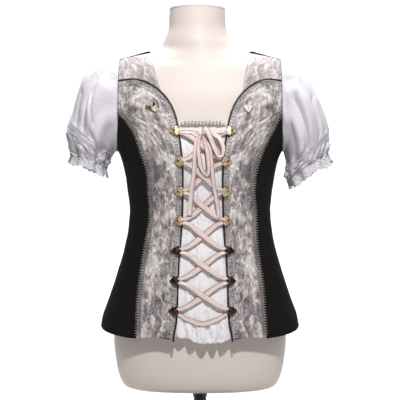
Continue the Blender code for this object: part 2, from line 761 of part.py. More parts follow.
def armhole_loop(count):
    """The whole armhole, from the shoulder down the front, under the arm and up the back."""
    front = armhole_line(ARMPIT_Z, SHOULDER_Z, 90)[::-1]
    back = armhole_line(ARMPIT_Z, SHOULDER_Z, 90, back=True)
    top = np.array([[math.pi / 2, SHOULDER_Z + 0.0008]])
    low = np.array([[math.pi / 2, ARMPIT_Z - 0.0015]])
    whole = np.vstack([top, front[1:], low, back[:-1], top])
    loop = cloth_point(*along(whole, count + 1)[:-1].T)
    loop[:, 0] = armhole_x(loop[:, 2]) + 2 * SEAM_GAP
    loop[:, 0] += ARMPIT_CLEARANCE * smooth_steps((ARMPIT_Z + 0.010 - loop[:, 2]) / 0.008)
    return loop


def sleeve_ring(rings, station, turn, loop):
    """One ring of the sleeve: near the body it is the armhole, further out an oval, with gathers."""
    row = eased(rings, max(station, 1.0))
    outer, inner, depth = np.array([row[0], 0.0, row[1]]), np.array([row[2], 0.0, row[3]]), row[4]
    middle, across = (outer + inner) / 2, (outer - inner) / 2
    oval = middle + across * np.cos(turn)[:, None] + np.array([0.0, -depth, 0.0]) * np.sin(turn)[:, None]
    outward = oval - middle
    outward /= np.linalg.norm(outward, axis=1, keepdims=True)
    share = float(smooth_steps(min(station, 1.0)))
    ring = loop * (1 - share) + oval * share
    under_arm = smooth_steps((-np.cos(turn) - 0.1) / 0.6) * float(smooth_steps((4.5 - station) / 1.5))
    depth_of_wave = eased(SLEEVE_GATHERS, station)[0] * (1 - 0.85 * under_arm)
    return ring + outward * (depth_of_wave * np.cos(SLEEVE_WAVES * turn))[:, None]


def sleeves():
    """Each puff sleeve in four sewn pieces: puff, openwork insertion, cuff and lace edging."""
    turn = np.linspace(0.0, 2 * math.pi, SLEEVE_POINTS, endpoint=False)
    loop = armhole_loop(SLEEVE_POINTS)
    stepped = loop + np.array([ARMHOLE_STEP, 0.0, 0.0])
    for word, side in SIDES:
        for name, first, last, rings, finish in SLEEVE_PIECES:
            starts = first + (STATION_GAP if first else 0.0)
            stations = np.linspace(starts, last - STATION_GAP, rings)
            if not first:
                stations = last * np.linspace(0.0, 1.0, rings) ** 1.3 - np.linspace(0.0, STATION_GAP, rings)
            points = [sleeve_ring(SLEEVE_RINGS[word], station, turn, stepped) for station in stations]
            if not first:
                points = [loop] + points
            points = np.stack(points)
            points[..., 0] *= side
            shell(f"{name}_{word}", points, SLEEVE_WALL, finish, closed=True, turned=side < 0)


def hook_heights():
    return np.linspace(HOOK_LOW_Z, HOOK_TOP_Z, HOOK_ROWS)


def hook_plate(side):
    """A leaf-shaped brass plate with its inner end bent up over the ribbon and the piping."""
    half = HOOK_HEIGHT / 2
    inner, outer = -HOOK_OVERHANG, HOOK_LENGTH - HOOK_OVERHANG
    outline = (
        # out, up
        (inner, -0.55 * half),
        (0.25 * outer, -half),
        (0.62 * outer, -0.72 * half),
        (outer, 0.0),
        (0.62 * outer, 0.72 * half),
        (0.25 * outer, half),
        (inner, 0.55 * half),
    )
    mesh = bpy.data.meshes.new("hook_plate")
    plate = bmesh.new()
    corners = []
    for out, up in outline:
        share = (out - inner) / (outer - inner)
        lift = HOOK_INNER_LIFT + (HOOK_OUTER_LIFT - HOOK_INNER_LIFT) * smooth_steps(2.2 * (share - 0.42))
        corners.append(plate.verts.new((side * out, up, lift)))
    crown = plate.verts.new((side * 0.30 * outer, 0.0, HOOK_INNER_LIFT + 0.0012))
    for first, second in zip(corners, corners[1:] + corners[:1]):
        face = (first, second, crown)
        plate.faces.new(face if side > 0 else face[::-1])
    plate.to_mesh(mesh)
    plate.free()
    return mesh


def surface_frame(x, z):
    """Axes on the cloth at a spot seen from the front: across to +X, upwards and out of the cloth."""
    angle = angle_at(np.array(x), np.array(z))
    spot = cloth_point(angle, np.array(z))
    normal = Vector(cloth_point(angle, np.array(z), np.array(1.0)) - spot).normalized()
    up = Vector((0, 0, 1))
    up = (up - up.dot(normal) * normal).normalized()
    turned = Matrix((up.cross(normal), up, normal)).transposed().to_4x4()
    return Matrix.Translation(Vector(spot)) @ turned


def hooks():
    for word, side in SIDES:
        mesh = hook_plate(side)
        for row, z in enumerate(hook_heights()[::-1], start=1):
            made = place(f"hook_{word}_{row}", mesh, "brass")
            made.matrix_world = surface_frame(edge_x(z, side), float(z))
            thick = made.modifiers.new("Wall", "SOLIDIFY")
            thick.thickness = HOOK_WALL
            thick.offset = 1.0


def ribbon(name, route, spacing, wall=RIBBON_WALL):
    """A flat ribbon over the cloth. The route's rows are x, z, lift and width, smoothed into one curve."""
    rows = np.array(route, float)
    lengths = np.linalg.norm(np.diff(rows[:, :3], axis=0), axis=1)
    chord = np.concatenate([[0.0], np.cumsum(lengths)])
    spots = [0.0]
    for start, length in zip(chord, lengths):
        pieces = max(1, round(length / spacing))
        spots.extend(start + length * np.arange(1, pieces + 1) / pieces)
    line = eased(np.column_stack([chord, rows]), np.array(spots))
    centre = cloth_point(angle_at(line[:, 0], line[:, 1]), line[:, 1], line[:, 2])
    above = cloth_point(angle_at(line[:, 0], line[:, 1]), line[:, 1], line[:, 2] + 0.001)
    normal = (above - centre) / 0.001
    along_it = np.gradient(centre, axis=0)
    beside = np.cross(along_it, normal)
    beside /= np.linalg.norm(beside, axis=1, keepdims=True)
    half = line[:, 3:4] / 2
    outside = np.stack([centre + beside * half, centre - beside * half], axis=1)
    inside = outside - (normal * wall)[:, None]
    return walled(name, outside, inside, "pink_satin", turned=True)


APEX_OUT = 0.0030
APEX_LIFT = 0.0042
APEX_SPREAD = 0.0042
APEX_IN = 0.0065
LEG_LIFT = 0.0037
CROSS_LOW = 0.0022
CROSS_HIGH = 0.0040


def strand_route(first_side):
    """One half of the lacing, zigzagging from the lowest hook to the top one."""
    route = []
    side = first_side
    heights = hook_heights()
    for row, z in enumerate(heights):
        x = edge_x(z, side)
        bend = (
            # x, z, lift, width
            (x - side * APEX_IN, z - APEX_SPREAD, LEG_LIFT, 0.0052),
            (x + side * 0.4 * APEX_OUT, z - 0.72 * APEX_SPREAD, APEX_LIFT, 0.0036),
            (x + side * APEX_OUT, z, APEX_LIFT, 0.0036),
            (x + side * 0.4 * APEX_OUT, z + 0.72 * APEX_SPREAD, APEX_LIFT, 0.0036),
            (x - side * APEX_IN, z + APEX_SPREAD, LEG_LIFT, 0.0052),
        )
        if row == 0:
            bend = bend[2:]
        if row == len(heights) - 1:
            route.extend(bend[:3])
            break
        route.extend(bend)
        over = (row % 2 == 0) == (first_side > 0)
        middle = (z + heights[row + 1]) / 2
        route.append((float(centre_x(middle)), middle, CROSS_HIGH if over else CROSS_LOW, RIBBON_WIDTH))
        side = -side
    return route


KNOT_X, KNOT_Z, KNOT_LIFT = 0.0000, 0.6680, 0.0082
BOTTOM_LOOP = (
    # x, z, lift, width
    (-0.0400, 0.3260, 0.0018, 0.0050),
    (-0.0230, 0.3165, 0.0012, 0.0085),
    (0.0060, 0.3085, 0.0010, 0.0095),
    (0.0330, 0.3170, 0.0012, 0.0085),
    (0.0500, 0.3262, 0.0018, 0.0050),
)
TOP_RIGHT = (
    # x, z, lift, width
    (-0.0350, 0.6700, 0.0050, 0.0060),
    (-0.0200, 0.6698, 0.0056, 0.0075),
    (-0.0047, 0.6680, 0.0074, 0.0055),
)
TOP_LEFT = (
    # x, z, lift, width
    (0.0047, 0.6680, 0.0074, 0.0050),
    (0.0250, 0.6690, 0.0058, 0.0080),
    (0.0430, 0.6698, 0.0050, 0.0060),
)
LOOP_DOWN = (
    # x, z, lift, width
    (0.0002, 0.6630, 0.0080, 0.0040),
    (-0.0040, 0.6430, 0.0088, 0.0078),
    (0.0006, 0.6120, 0.0090, 0.0080),
    (0.0088, 0.5945, 0.0078, 0.0062),
    (0.0138, 0.5900, 0.0068, 0.0050),
    (0.0168, 0.6010, 0.0062, 0.0066),
    (0.0140, 0.6330, 0.0058, 0.0080),
    (0.0050, 0.6600, 0.0062, 0.0040),
)
LOOP_SIDE = (
    # x, z, lift, width
    (0.0046, 0.6702, 0.0094, 0.0040),
    (0.0098, 0.6772, 0.0114, 0.0060),
    (0.0172, 0.6655, 0.0126, 0.0092),
    (0.0290, 0.6400, 0.0122, 0.0095),
    (0.0372, 0.6250, 0.0108, 0.0060),
    (0.0424, 0.6255, 0.0100, 0.0055),
    (0.0440, 0.6370, 0.0094, 0.0080),
    (0.0378, 0.6560, 0.0086, 0.0095),
    (0.0240, 0.6670, 0.0080, 0.0070),
)
TAIL_RIGHT = (
    # x, z, lift, width
    (-0.0036, 0.6640, 0.0098, 0.0040),
    (-0.0096, 0.6440, 0.0104, 0.0070),
    (-0.0112, 0.6170, 0.0098, 0.0075),
    (-0.0122, 0.5900, 0.0082, 0.0080),
    (-0.0160, 0.5600, 0.0070, 0.0090),
    (-0.0195, 0.5125, 0.0062, 0.0100),
)
TAIL_LEFT = (
    # x, z, lift, width
    (0.0058, 0.6620, 0.0080, 0.0040),
    (0.0200, 0.6380, 0.0076, 0.0080),
    (0.0235, 0.6130, 0.0078, 0.0090),
    (0.0255, 0.5820, 0.0078, 0.0100),
    (0.0305, 0.5480, 0.0068, 0.0105),
    (0.0340, 0.5260, 0.0060, 0.0105),
    (0.0352, 0.5070, 0.0058, 0.0095),
)


def lacing():
    """The pink ribbon through the hooks, with its bow and two hanging ends."""
    ribbon("ribbon_strand_a", strand_route(1), 0.018)
    ribbon("ribbon_strand_b", strand_route(-1), 0.018)
    ribbon("ribbon_bottom_loop", BOTTOM_LOOP, 0.009)
    ribbon("ribbon_top_right", TOP_RIGHT, 0.008)
    ribbon("ribbon_top_left", TOP_LEFT, 0.010)
    ribbon("bow_loop_down", LOOP_DOWN, 0.008)
    ribbon("bow_loop_side", LOOP_SIDE, 0.008)
    ribbon("bow_tail_right", TAIL_RIGHT, 0.014)
    ribbon("bow_tail_left", TAIL_LEFT, 0.014)
    bow_knot()


def bow_knot():
    mesh = bpy.data.meshes.new("bow_knot")
    lump = bmesh.new()
    bmesh.ops.create_uvsphere(lump, u_segments=10, v_segments=6, radius=1.0)
    lump.to_mesh(mesh)
    lump.free()
    made = place("bow_knot", mesh, "pink_satin")
    made.scale = (0.0042, 0.0022, 0.0046)
    angle = angle_at(np.array(KNOT_X), np.array(KNOT_Z))
    made.location = cloth_point(angle, np.array(KNOT_Z), np.array(KNOT_LIFT))


def charm(name, outline, x, z, finish, wall=0.0016):
    """A small flat badge pinned to a front, cut to an outline."""
    curve = bpy.data.curves.new(name, "CURVE")
    curve.dimensions = "2D"
    curve.fill_mode = "BOTH"
    curve.extrude = wall / 2
    line = curve.splines.new("POLY")
    line.points.add(len(outline) - 1)
    for point, (across, up) in zip(line.points, outline):
        point.co = (across, up, 0.0, 1.0)
    line.use_cyclic_u = True
    made = place(name, curve, finish)
    made.matrix_world = surface_frame(x, z) @ Matrix.Translation((0, 0, wall / 2 + 0.0008))
    return made


SPRIG_BADGE = (
    # across, up: a forked twig with a leaf and a bud
    (0.0048, 0.0115),
    (0.0082, 0.0066),
    (0.0086, 0.0018),
    (0.0122, 0.0020),
    (0.0100, -0.0034),
    (0.0120, -0.0112),
    (0.0084, -0.0106),
    (0.0018, -0.0074),
    (-0.0010, -0.0080),
    (-0.0036, -0.0050),
    (-0.0062, -0.0024),
    (-0.0098, -0.0034),
    (-0.0120, -0.0008),
    (-0.0092, 0.0004),
    (-0.0112, 0.0048),
    (-0.0064, 0.0022),
    (-0.0032, 0.0046),
    (0.0000, 0.0006),
    (0.0024, -0.0014),
    (0.0050, 0.0000),
    (0.0030, 0.0048),
)


def badges():
    """A brass sprig on the right front and a cream heart on the left one."""
    charm("badge_sprig", SPRIG_BADGE, -0.0935, 0.7200, "brass")
    sweep = np.linspace(0.0, 2 * math.pi, 18, endpoint=False)
    heart = [
        (0.0080 * math.sin(a) ** 3, 0.0006 * (13 * math.cos(a) - 5 * math.cos(2 * a) - 2 * math.cos(3 * a)))
        for a in sweep
    ]
    charm("badge_heart", heart, 0.0935, 0.7170, "cream_enamel")


def dress_form():
    """The smooth torso with its neck, flat arm plates and a flat foot."""
    turn = np.linspace(0.0, 2 * math.pi, FORM_POINTS, endpoint=False)
    heights = [row[0] for row in FORM_SECTIONS]
    points = np.stack([section_point(FORM_SECTIONS, turn, z) for z in heights])
    points[..., 0] = np.clip(points[..., 0], -ARM_PLATE_X, ARM_PLATE_X)
    low_rows = points[..., 2] < 0.60
    hips = section_point(FORM_SECTIONS, turn[None], np.array(heights)[:, None])
    points[low_rows] = hips[low_rows]
    points[..., 0] += NECK_LEAN_X * smooth_steps((points[..., 2] - 0.836) / 0.030)
    mesh = bpy.data.meshes.new("dress_form")
    body = bmesh.new()
    rings = [[body.verts.new(spot) for spot in ring] for ring in points]
    for lower, upper in zip(rings, rings[1:]):
        for k in range(FORM_POINTS):
            beside = (k + 1) % FORM_POINTS
            body.faces.new((lower[k], lower[beside], upper[beside], upper[k]))
    body.faces.new(rings[0][::-1])
    body.faces.new(rings[-1])
    body.to_mesh(mesh)
    body.free()
    mesh.shade_smooth()
    place("dress_form", mesh, "form_shell")


def turned_piece(name, radius, low, high, finish, bevel=0.0, sides=32):
    mesh = bpy.data.meshes.new(name)
    drum = bmesh.new()
    bmesh.ops.create_cone(
        drum, cap_ends=True, segments=sides, radius1=radius, radius2=radius, depth=high - low
    )
    drum.to_mesh(mesh)
    drum.free()
    made = place(name, mesh, finish)
    made.location = (0, 0, (low + high) / 2)
    if bevel:
        rounded = made.modifiers.new("Rounded", "BEVEL")
        rounded.width = bevel
        rounded.segments = 2
        rounded.limit_method = "ANGLE"
    return made


def stand():
    """The black pole with its socket under the torso and the round base plate."""
    torso_low = FORM_SECTIONS[0][0]
    socket_low = torso_low - SEAM_GAP - SOCKET_THICKNESS
    turned_piece("base_plate", BASE_RADIUS, 0.0, BASE_THICKNESS, "black_steel", 0.002, 36)
    turned_piece("pole", POLE_RADIUS, BASE_THICKNESS + SEAM_GAP, socket_low - SEAM_GAP, "black_steel", 0, 20)
    turned_piece("pole_socket", SOCKET_RADIUS, socket_low, torso_low - SEAM_GAP, "black_steel", 0.002, 18)


def main():
    clear_scene()
    collection = bpy.data.collections.new("dirndl_blouse")
    bpy.context.scene.collection.children.link(collection)
    dress_form()
    stand()
    front_panels()
    yokes()
    side_panels()
    back_panel()
    insert_panel()
    insert_lace()
    piping()
    trims()
    sleeves()
    hooks()
    lacing()
    badges()


main()
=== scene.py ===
# %% [markdown]
# # A laced dirndl blouse on its dress form
#
# The blouse is a fitted bodice: patterned fronts, black sides and back, a white gathered insert behind a ribbon
# lacing, and short puff sleeves. It is worn by a limbless dress form, so every panel follows one body. This lesson
# builds that body once, cuts the panels on it by their seams, and lays each trim on the panel's own points. Units
# are metres, +Z is up, the front faces -Y and the wearer's left is +X.

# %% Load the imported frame
import math

import bpy
import numpy as np
from mathutils import Matrix, Vector


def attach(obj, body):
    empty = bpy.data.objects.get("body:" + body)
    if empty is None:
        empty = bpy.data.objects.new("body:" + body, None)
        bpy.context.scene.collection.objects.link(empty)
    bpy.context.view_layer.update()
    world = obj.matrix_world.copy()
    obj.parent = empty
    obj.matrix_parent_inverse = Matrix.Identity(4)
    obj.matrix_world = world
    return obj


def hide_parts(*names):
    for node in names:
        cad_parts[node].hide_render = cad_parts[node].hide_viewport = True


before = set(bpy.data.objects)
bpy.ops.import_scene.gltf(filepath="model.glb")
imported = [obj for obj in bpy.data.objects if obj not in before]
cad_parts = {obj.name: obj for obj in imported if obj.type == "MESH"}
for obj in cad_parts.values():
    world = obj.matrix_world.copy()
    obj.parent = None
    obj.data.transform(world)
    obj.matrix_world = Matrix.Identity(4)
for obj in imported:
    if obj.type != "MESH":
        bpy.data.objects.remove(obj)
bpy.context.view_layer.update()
SIDES = (("left", 1), ("right", -1))

# %% [markdown]
# ## Camera, light and floor
#
# The photograph looks at the garment from straight ahead at mid height, from a little over two metres. A pale swept
# backdrop and a wide lamp behind the stand hide the horizon. One small lamp high in front does nearly all
# the work, so the hem's shadow on the hips is hard and dark, and the softboxes only lift the sides a little.

# %% Camera
CAMERA_DISTANCE = 2.2
CAMERA_HEIGHT = 0.542
VIEW_WIDTH = 0.8
camera = bpy.data.objects.new("camera", bpy.data.cameras.new("camera"))
bpy.context.scene.collection.objects.link(camera)
camera.data.sensor_width = 36.0
camera.data.lens = 36.0 * CAMERA_DISTANCE / VIEW_WIDTH
camera.location = (0.0, -CAMERA_DISTANCE, CAMERA_HEIGHT)
camera.rotation_euler = (math.radians(90), 0.0, 0.0)
bpy.context.scene.camera = camera
bpy.context.scene.view_settings.view_transform = "Standard"
print("lens", camera.data.lens)

# %% Lamps and the white room
LAMPS = (
    # name, watts, size, place, aim
    ("key_lamp", 34.0, 0.13, (0.12, -1.4, 1.95), (0.0, 0.0, 0.5)),
    ("left_softbox", 0.9, 1.4, (-1.7, -1.6, 1.2), (0.0, 0.0, 0.5)),
    ("right_softbox", 1.6, 1.4, (1.7, -1.6, 1.2), (0.0, 0.0, 0.5)),
    ("paper_lamp", 150.0, 1.8, (0.0, 0.95, 2.5), (0.0, 2.15, 0.6))
)
for name, watts, size, place, aim in LAMPS:
    lamp = bpy.data.lights.new(name, "AREA")
    lamp.energy = watts
    lamp.size = size
    holder = bpy.data.objects.new(name, lamp)
    holder.location = place
    holder.rotation_euler = (Vector(aim) - Vector(place)).to_track_quat("-Z", "Y").to_euler()
    bpy.context.scene.collection.objects.link(holder)
world = bpy.data.worlds.new("white_room")
world.use_nodes = True
world.node_tree.nodes["Background"].inputs["Color"].default_value = (1.0, 1.0, 1.0, 1.0)
world.node_tree.nodes["Background"].inputs["Strength"].default_value = 0.04
bpy.context.scene.world = world
print(len(LAMPS), "lamps")

# %% [markdown]
# ## Making a material
#
# Every finish below is a Principled shader fed by a few pattern nodes. One function adds a node with its settings
# and links, and another turns the sRGB colours that a picture shows into the linear ones that a shader needs. Cloth
# pieces carry a UV map in metres along the cloth, so a pattern's scale is one over a real size.


# %% Colours and nodes
def linear(colour):
    """The linear colour of an sRGB hex value."""
    parts = [int(colour[k : k + 2], 16) / 255 for k in (1, 3, 5)]
    return tuple(c / 12.92 if c <= 0.04045 else ((c + 0.055) / 1.055) ** 2.4 for c in parts) + (1.0,)


def add(tree, kind, inputs=None, stops=None, **settings):
    """A node with its settings. Inputs take values, hex colours, sockets or nodes, and stops fill a ramp.

    A node that is given as an input is linked by its first output.
    """
    node = tree.nodes.new("ShaderNode" + kind)
    for name, value in settings.items():
        setattr(node, name, value)
    if stops:
        for place, _ in stops[1:-1]:
            node.color_ramp.elements.new(place)
        for stop, (place, colour) in zip(node.color_ramp.elements, stops):
            stop.position = place
            stop.color = linear(colour)
    for key, value in (inputs or {}).items():
        if isinstance(value, (bpy.types.Node, bpy.types.NodeSocket)):
            tree.links.new(getattr(value, "outputs", [value])[0], node.inputs[key])
        else:
            node.inputs[key].default_value = linear(value) if isinstance(value, str) else value
    return node


def new_material(name, space="UV", **surface):
    """A material, its tree, its Principled shader with plain values set, and the space its patterns lie in."""
    material = bpy.data.materials.new(name)
    material.use_nodes = True
    tree = material.node_tree
    shader = tree.nodes["Principled BSDF"]
    for key, value in surface.items():
        socket = shader.inputs[key.replace("_", " ").title().replace("Ior", "IOR")]
        socket.default_value = linear(value) if isinstance(value, str) else value
    return material, tree, shader, add(tree, "TexCoord").outputs[space]


def dress(tree, shader, height, strength, depth, colour=None):
    """Give a shader its relief from a pattern's height and, where one is made, its pattern of colour."""
    bump = add(tree, "Bump", {"Height": height, "Strength": strength, "Distance": depth})
    tree.links.new(bump.outputs[0], shader.inputs["Normal"])
    if colour is not None:
        tree.links.new(getattr(colour, "outputs", [colour])[0], shader.inputs["Base Color"])


print(linear("#808080")[0])

# %% [markdown]
# ## The patterned fronts' cloth
#
# The fronts are a light polyester jacquard with a marbled grey and lilac ground and a dry, crinkled face that
# catches the light in small silvery strokes. Large soft clouds give the marbling, a stretched and twisted noise
# gives the strokes, and the same strokes drive the bump, so that light and relief agree.

# %% Jacquard
CLOUD_SIZE = 0.042
STROKE_SIZE = 0.0088
CRACKLE_SIZE = 0.0115


def make_jacquard(name, relief, pattern, ground_tones):
    """A marbled jacquard. Relief is how crinkled its face is, and pattern how strong its strokes are."""
    material, tree, shader, spot = new_material(name, roughness=0.48, ior=1.5, sheen_weight=0.1, sheen_roughness=0.4)
    warp = add(tree, "TexNoise", {"Vector": spot, "Scale": 1 / 0.016, "Detail": 4.0})
    moved = add(tree, "VectorMath", {0: warp.outputs["Color"], 1: (0.5, 0.5, 0.5)}, operation="SUBTRACT")
    bent = add(tree, "VectorMath", {0: moved, 1: (0.014, 0.014, 0.0), 2: spot}, operation="MULTIPLY_ADD")
    clouds = add(
        tree, "TexNoise",
        {"Vector": spot, "Scale": 1 / CLOUD_SIZE, "Detail": 5.0, "Roughness": 0.6, "Distortion": 0.6}
    )
    ground = add(tree, "ValToRGB", {0: clouds}, stops=tuple(zip((0.36, 0.45, 0.53, 0.64), ground_tones)))
    turned = add(tree, "Mapping", {"Vector": bent, "Rotation": (0, 0, 0.6), "Scale": (1.0, 0.5, 1.0)})
    strokes = add(
        tree, "TexNoise",
        {"Vector": turned, "Scale": 1 / STROKE_SIZE, "Detail": 6.0, "Roughness": 0.55, "Distortion": 1.2}
    )
    crackle = add(
        tree, "TexNoise", {"Vector": bent, "Scale": 1 / CRACKLE_SIZE, "Detail": 5.0, "Roughness": 0.5},
        noise_type="RIDGED_MULTIFRACTAL"
    )
    light = add(
        tree, "ValToRGB", {0: strokes},
        stops=((0.3, "#5B5557"), (0.45, "#97918F"), (0.57, "#DAD6D4"), (0.66, "#FFFDFC"))
    )
    veins = add(tree, "MapRange", {"Value": crackle, 1: 0.48, 2: 0.82, 3: 0.0, 4: pattern})
    cloth = add(tree, "Mix", {0: pattern, 6: ground, 7: light}, data_type="RGBA", blend_type="OVERLAY")
    veined = add(tree, "Mix", {0: veins, 6: cloth.outputs[2], 7: "#EBE7E5"}, data_type="RGBA")
    height = add(tree, "Math", {0: crackle, 1: 0.7, 2: strokes}, operation="MULTIPLY_ADD")
    dress(tree, shader, height, relief, 0.0013, veined.outputs[2])
    return material


MARBLED = ("#7F787E", "#A8A2A4", "#C6C0C0", "#E0DCDA")
FADED = ("#A69DA0", "#B8B0B2", "#C6BFC0", "#D6D0CF")
crinkled_jacquard = make_jacquard("polyester_jacquard_crinkled", 0.9, 0.85, MARBLED)
smooth_jacquard = make_jacquard("polyester_jacquard_smooth", 0.5, 0.55, FADED)
print(crinkled_jacquard.name, smooth_jacquard.name)

# %% [markdown]
# ## The plain cloths
#
# The sides and back are black viscose jersey: a matt knit whose fine ribs only show as a slight bloom. The sleeves
# are cotton batiste, thin and matt, with small woven dots. The insert is crinkle cotton with fine upright creases.
# Each one is its colour and a thread bump at its own scale, and a faint sheen on the white ones stands for the
# fibre ends.

# %% Jersey, batiste and crinkle cotton
KNIT_RIB = 0.0016
DOT_PITCH = 0.0095
DOT_RADIUS = 0.0008
CRINKLE = 0.0078


def make_jersey():
    """Black jersey: fine ribs for relief and a faint bloom for colour."""
    material, tree, shader, spot = new_material(
        "black_viscose_jersey", base_color="#131113", roughness=0.9, ior=1.46, specular_ior_level=0.2
    )
    ribs = add(
        tree, "TexWave", {"Vector": spot, "Scale": 1 / KNIT_RIB / 6.283, "Distortion": 0.6, "Detail": 1.0},
        bands_direction="X"
    )
    pills = add(tree, "TexNoise", {"Vector": spot, "Scale": 1 / 0.006, "Detail": 5.0, "Roughness": 0.7})
    tone = add(tree, "ValToRGB", {0: pills}, stops=((0.3, "#120F10"), (0.7, "#1C191A")))
    dress(tree, shader, ribs.outputs["Fac"], 0.25, 0.0003, tone)
    return material


def make_batiste():
    """White batiste with woven dots in a slanted lattice."""
    material, tree, shader, spot = new_material("cotton_batiste_dotted", roughness=0.8, ior=1.5, sheen_weight=0.1)
    lattice = add(tree, "Mapping", {"Vector": spot, "Rotation": (0, 0, math.radians(45))})
    cells = add(tree, "TexVoronoi", {"Vector": lattice, "Scale": 1 / DOT_PITCH, "Randomness": 0.12}, feature="F1")
    dots = add(
        tree, "MapRange", {"Value": cells, 1: DOT_RADIUS / DOT_PITCH, 2: 1.8 * DOT_RADIUS / DOT_PITCH, 3: 1.0, 4: 0.0}
    )
    tone = add(tree, "Mix", {0: dots, 6: "#DAD5DD", 7: "#EFECF2"}, data_type="RGBA")
    rumple = add(tree, "TexNoise", {"Vector": spot, "Scale": 1 / 0.007, "Detail": 4.0, "Roughness": 0.55})
    height = add(tree, "Math", {0: dots, 1: 0.35, 2: rumple}, operation="MULTIPLY_ADD")
    dress(tree, shader, height, 0.45, 0.001, tone.outputs[2])
    return material


def make_crinkle_cotton():
    """White cotton with upright creases, with painted shade that darkens their valleys a little."""
    material, tree, shader, spot = new_material("crinkle_cotton_white", roughness=0.8, ior=1.5, sheen_weight=0.1)
    upright = add(tree, "Mapping", {"Vector": spot, "Rotation": (0, 0, 0.15), "Scale": (1.0, 0.62, 1.0)})
    creases = add(tree, "TexNoise", {"Vector": upright, "Scale": 1 / CRINKLE, "Detail": 3.0, "Distortion": 0.8})
    # Painted shade: the crease noise that drives the bump also darkens the valleys.
    tone = add(tree, "ValToRGB", {0: creases}, stops=((0.36, "#E9E3E8"), (0.5, "#F9F6F8")))
    dress(tree, shader, creases, 0.6, 0.0012, tone)
    return material


black_jersey = make_jersey()
dotted_batiste = make_batiste()
crinkle_cotton = make_crinkle_cotton()
print(black_jersey.name, dotted_batiste.name, crinkle_cotton.name)

# %% [markdown]
# ## Trims, ribbon, metal and the form
#
# Lace and gimp are twisted threads, so they get a fine bump. The ribbon is polyester satin, smooth along
# its length with a soft directional gloss. The hooks are cast brass, darkened in the hollows. The form is sprayed
# with an off-white lacquer, and its stand is powder-coated steel with a fine orange-peel surface.

# %% Threads, satin, brass, lacquer and powder coat
TWIST = 0.0009
RIBBON_WIDTH = 0.0115


def make_thread(name, low, high, roughness, metallic=0.0):
    """A twisted thread between two tones."""
    material, tree, shader, spot = new_material(
        name, "Object", roughness=roughness, ior=1.5, metallic=metallic, sheen_weight=0.1
    )
    twist = add(tree, "TexNoise", {"Vector": spot, "Scale": 1 / TWIST, "Detail": 3.0, "Roughness": 0.6})
    tone = add(tree, "ValToRGB", {0: twist}, stops=((0.35, low), (0.65, high)))
    dress(tree, shader, twist, 0.5, 0.0004, tone)
    return material


def make_satin():
    """Pink satin, threaded lengthwise, with painted shade along its two edges."""
    material, tree, shader, spot = new_material(
        "polyester_satin_pink", roughness=0.34, ior=1.5, anisotropic=0.5, sheen_weight=0.2, sheen_roughness=0.3
    )
    threads = add(tree, "Mapping", {"Vector": spot, "Scale": (1.0, 0.05, 1.0)})
    weave = add(tree, "TexNoise", {"Vector": threads, "Scale": 1 / 0.0008, "Detail": 2.0})
    tone = add(tree, "ValToRGB", {0: weave}, stops=((0.3, "#E9D3CD"), (0.7, "#FBF1ED")))
    across = add(tree, "SeparateXYZ", {0: spot})
    share = add(tree, "Math", {0: across, 1: RIBBON_WIDTH}, operation="DIVIDE")
    # Painted shade: this ramp across the ribbon's width darkens both edges, and is multiplied over the weave.
    edges = add(
        tree, "ValToRGB", {0: share},
        stops=((0.02, "#C6AAA0"), (0.14, "#FFFFFF"), (0.74, "#F8F0EE"), (0.98, "#9C776B"))
    )
    shaded = add(tree, "Mix", {0: 1.0, 6: tone, 7: edges}, data_type="RGBA", blend_type="MULTIPLY")
    dress(tree, shader, weave, 0.15, 0.0002, shaded.outputs[2])
    return material


def make_metal(name, dark, bright, roughness):
    """A cast metal, darker in its hollows."""
    material, tree, shader, spot = new_material(name, "Object", metallic=1.0, roughness=roughness)
    wear = add(tree, "TexNoise", {"Vector": spot, "Scale": 1 / 0.003, "Detail": 2.0})
    tone = add(tree, "ValToRGB", {0: wear}, stops=((0.36, dark), (0.58, bright)))
    dress(tree, shader, wear, 0.12, 0.0002, tone)
    return material


def make_coating(name, colour, roughness, peel, depth, **more):
    """A sprayed or fired coat with a fine uneven skin."""
    material, tree, shader, spot = new_material(
        name, "Object", base_color=colour, roughness=roughness, ior=1.5, **more
    )
    skin = add(tree, "TexNoise", {"Vector": spot, "Scale": 1 / peel, "Detail": 3.0})
    dress(tree, shader, skin, depth, 0.0004)
    return material


white_lace = make_thread("cotton_lace_white", "#BDB6C0", "#F2EFF3", 0.8)
grey_lace = make_thread("viscose_lace_grey", "#98938F", "#D8D3CF", 0.6)
silver_gimp = make_thread("metallised_gimp_silver", "#6C6862", "#BEBAB3", 0.5, 0.2)
covered_cord = make_thread("satin_covered_cord_black", "#0C0B0C", "#1B191B", 0.45)
pink_satin = make_satin()
pale_brass = make_metal("cast_brass_pale", "#BFA070", "#F8E2BE", 0.56)
dark_bronze = make_metal("patinated_bronze", "#2A231E", "#6E5D48", 0.42)
# Painted shade: near-black rivet heads fill the hooks' holes so that they read dark.
rivet_steel_painted_shade = make_metal("rivet_steel_painted_shade", "#0E0C0B", "#1E1A18", 0.5)
pewter = make_metal("cast_pewter", "#4F4A48", "#A79F97", 0.4)
cream_enamel = make_coating("vitreous_enamel_cream", "#EFE6DC", 0.2, 0.004, 0.1)
ivory_lacquer = make_coating("sprayed_lacquer_ivory", "#E8DBD4", 0.5, 0.012, 0.05, specular_ior_level=0.35)
powder_coat = make_coating("powder_coat_black", "#141314", 0.45, 0.0012, 0.5)
print(len(bpy.data.materials), "materials")

# %% [markdown]
# ## The body under the cloth
#
# A dress form is drawn by its sections: at each height a half width, a depth to the front and to the back, and how
# square the section's corners are. A cubic that never overshoots joins the rows, so a few measured heights give a
# smooth body. The cloth has its own table, a little outside the form's. A point of cloth is then named by the angle
# round the body and the height, and every seam is a line of such points.

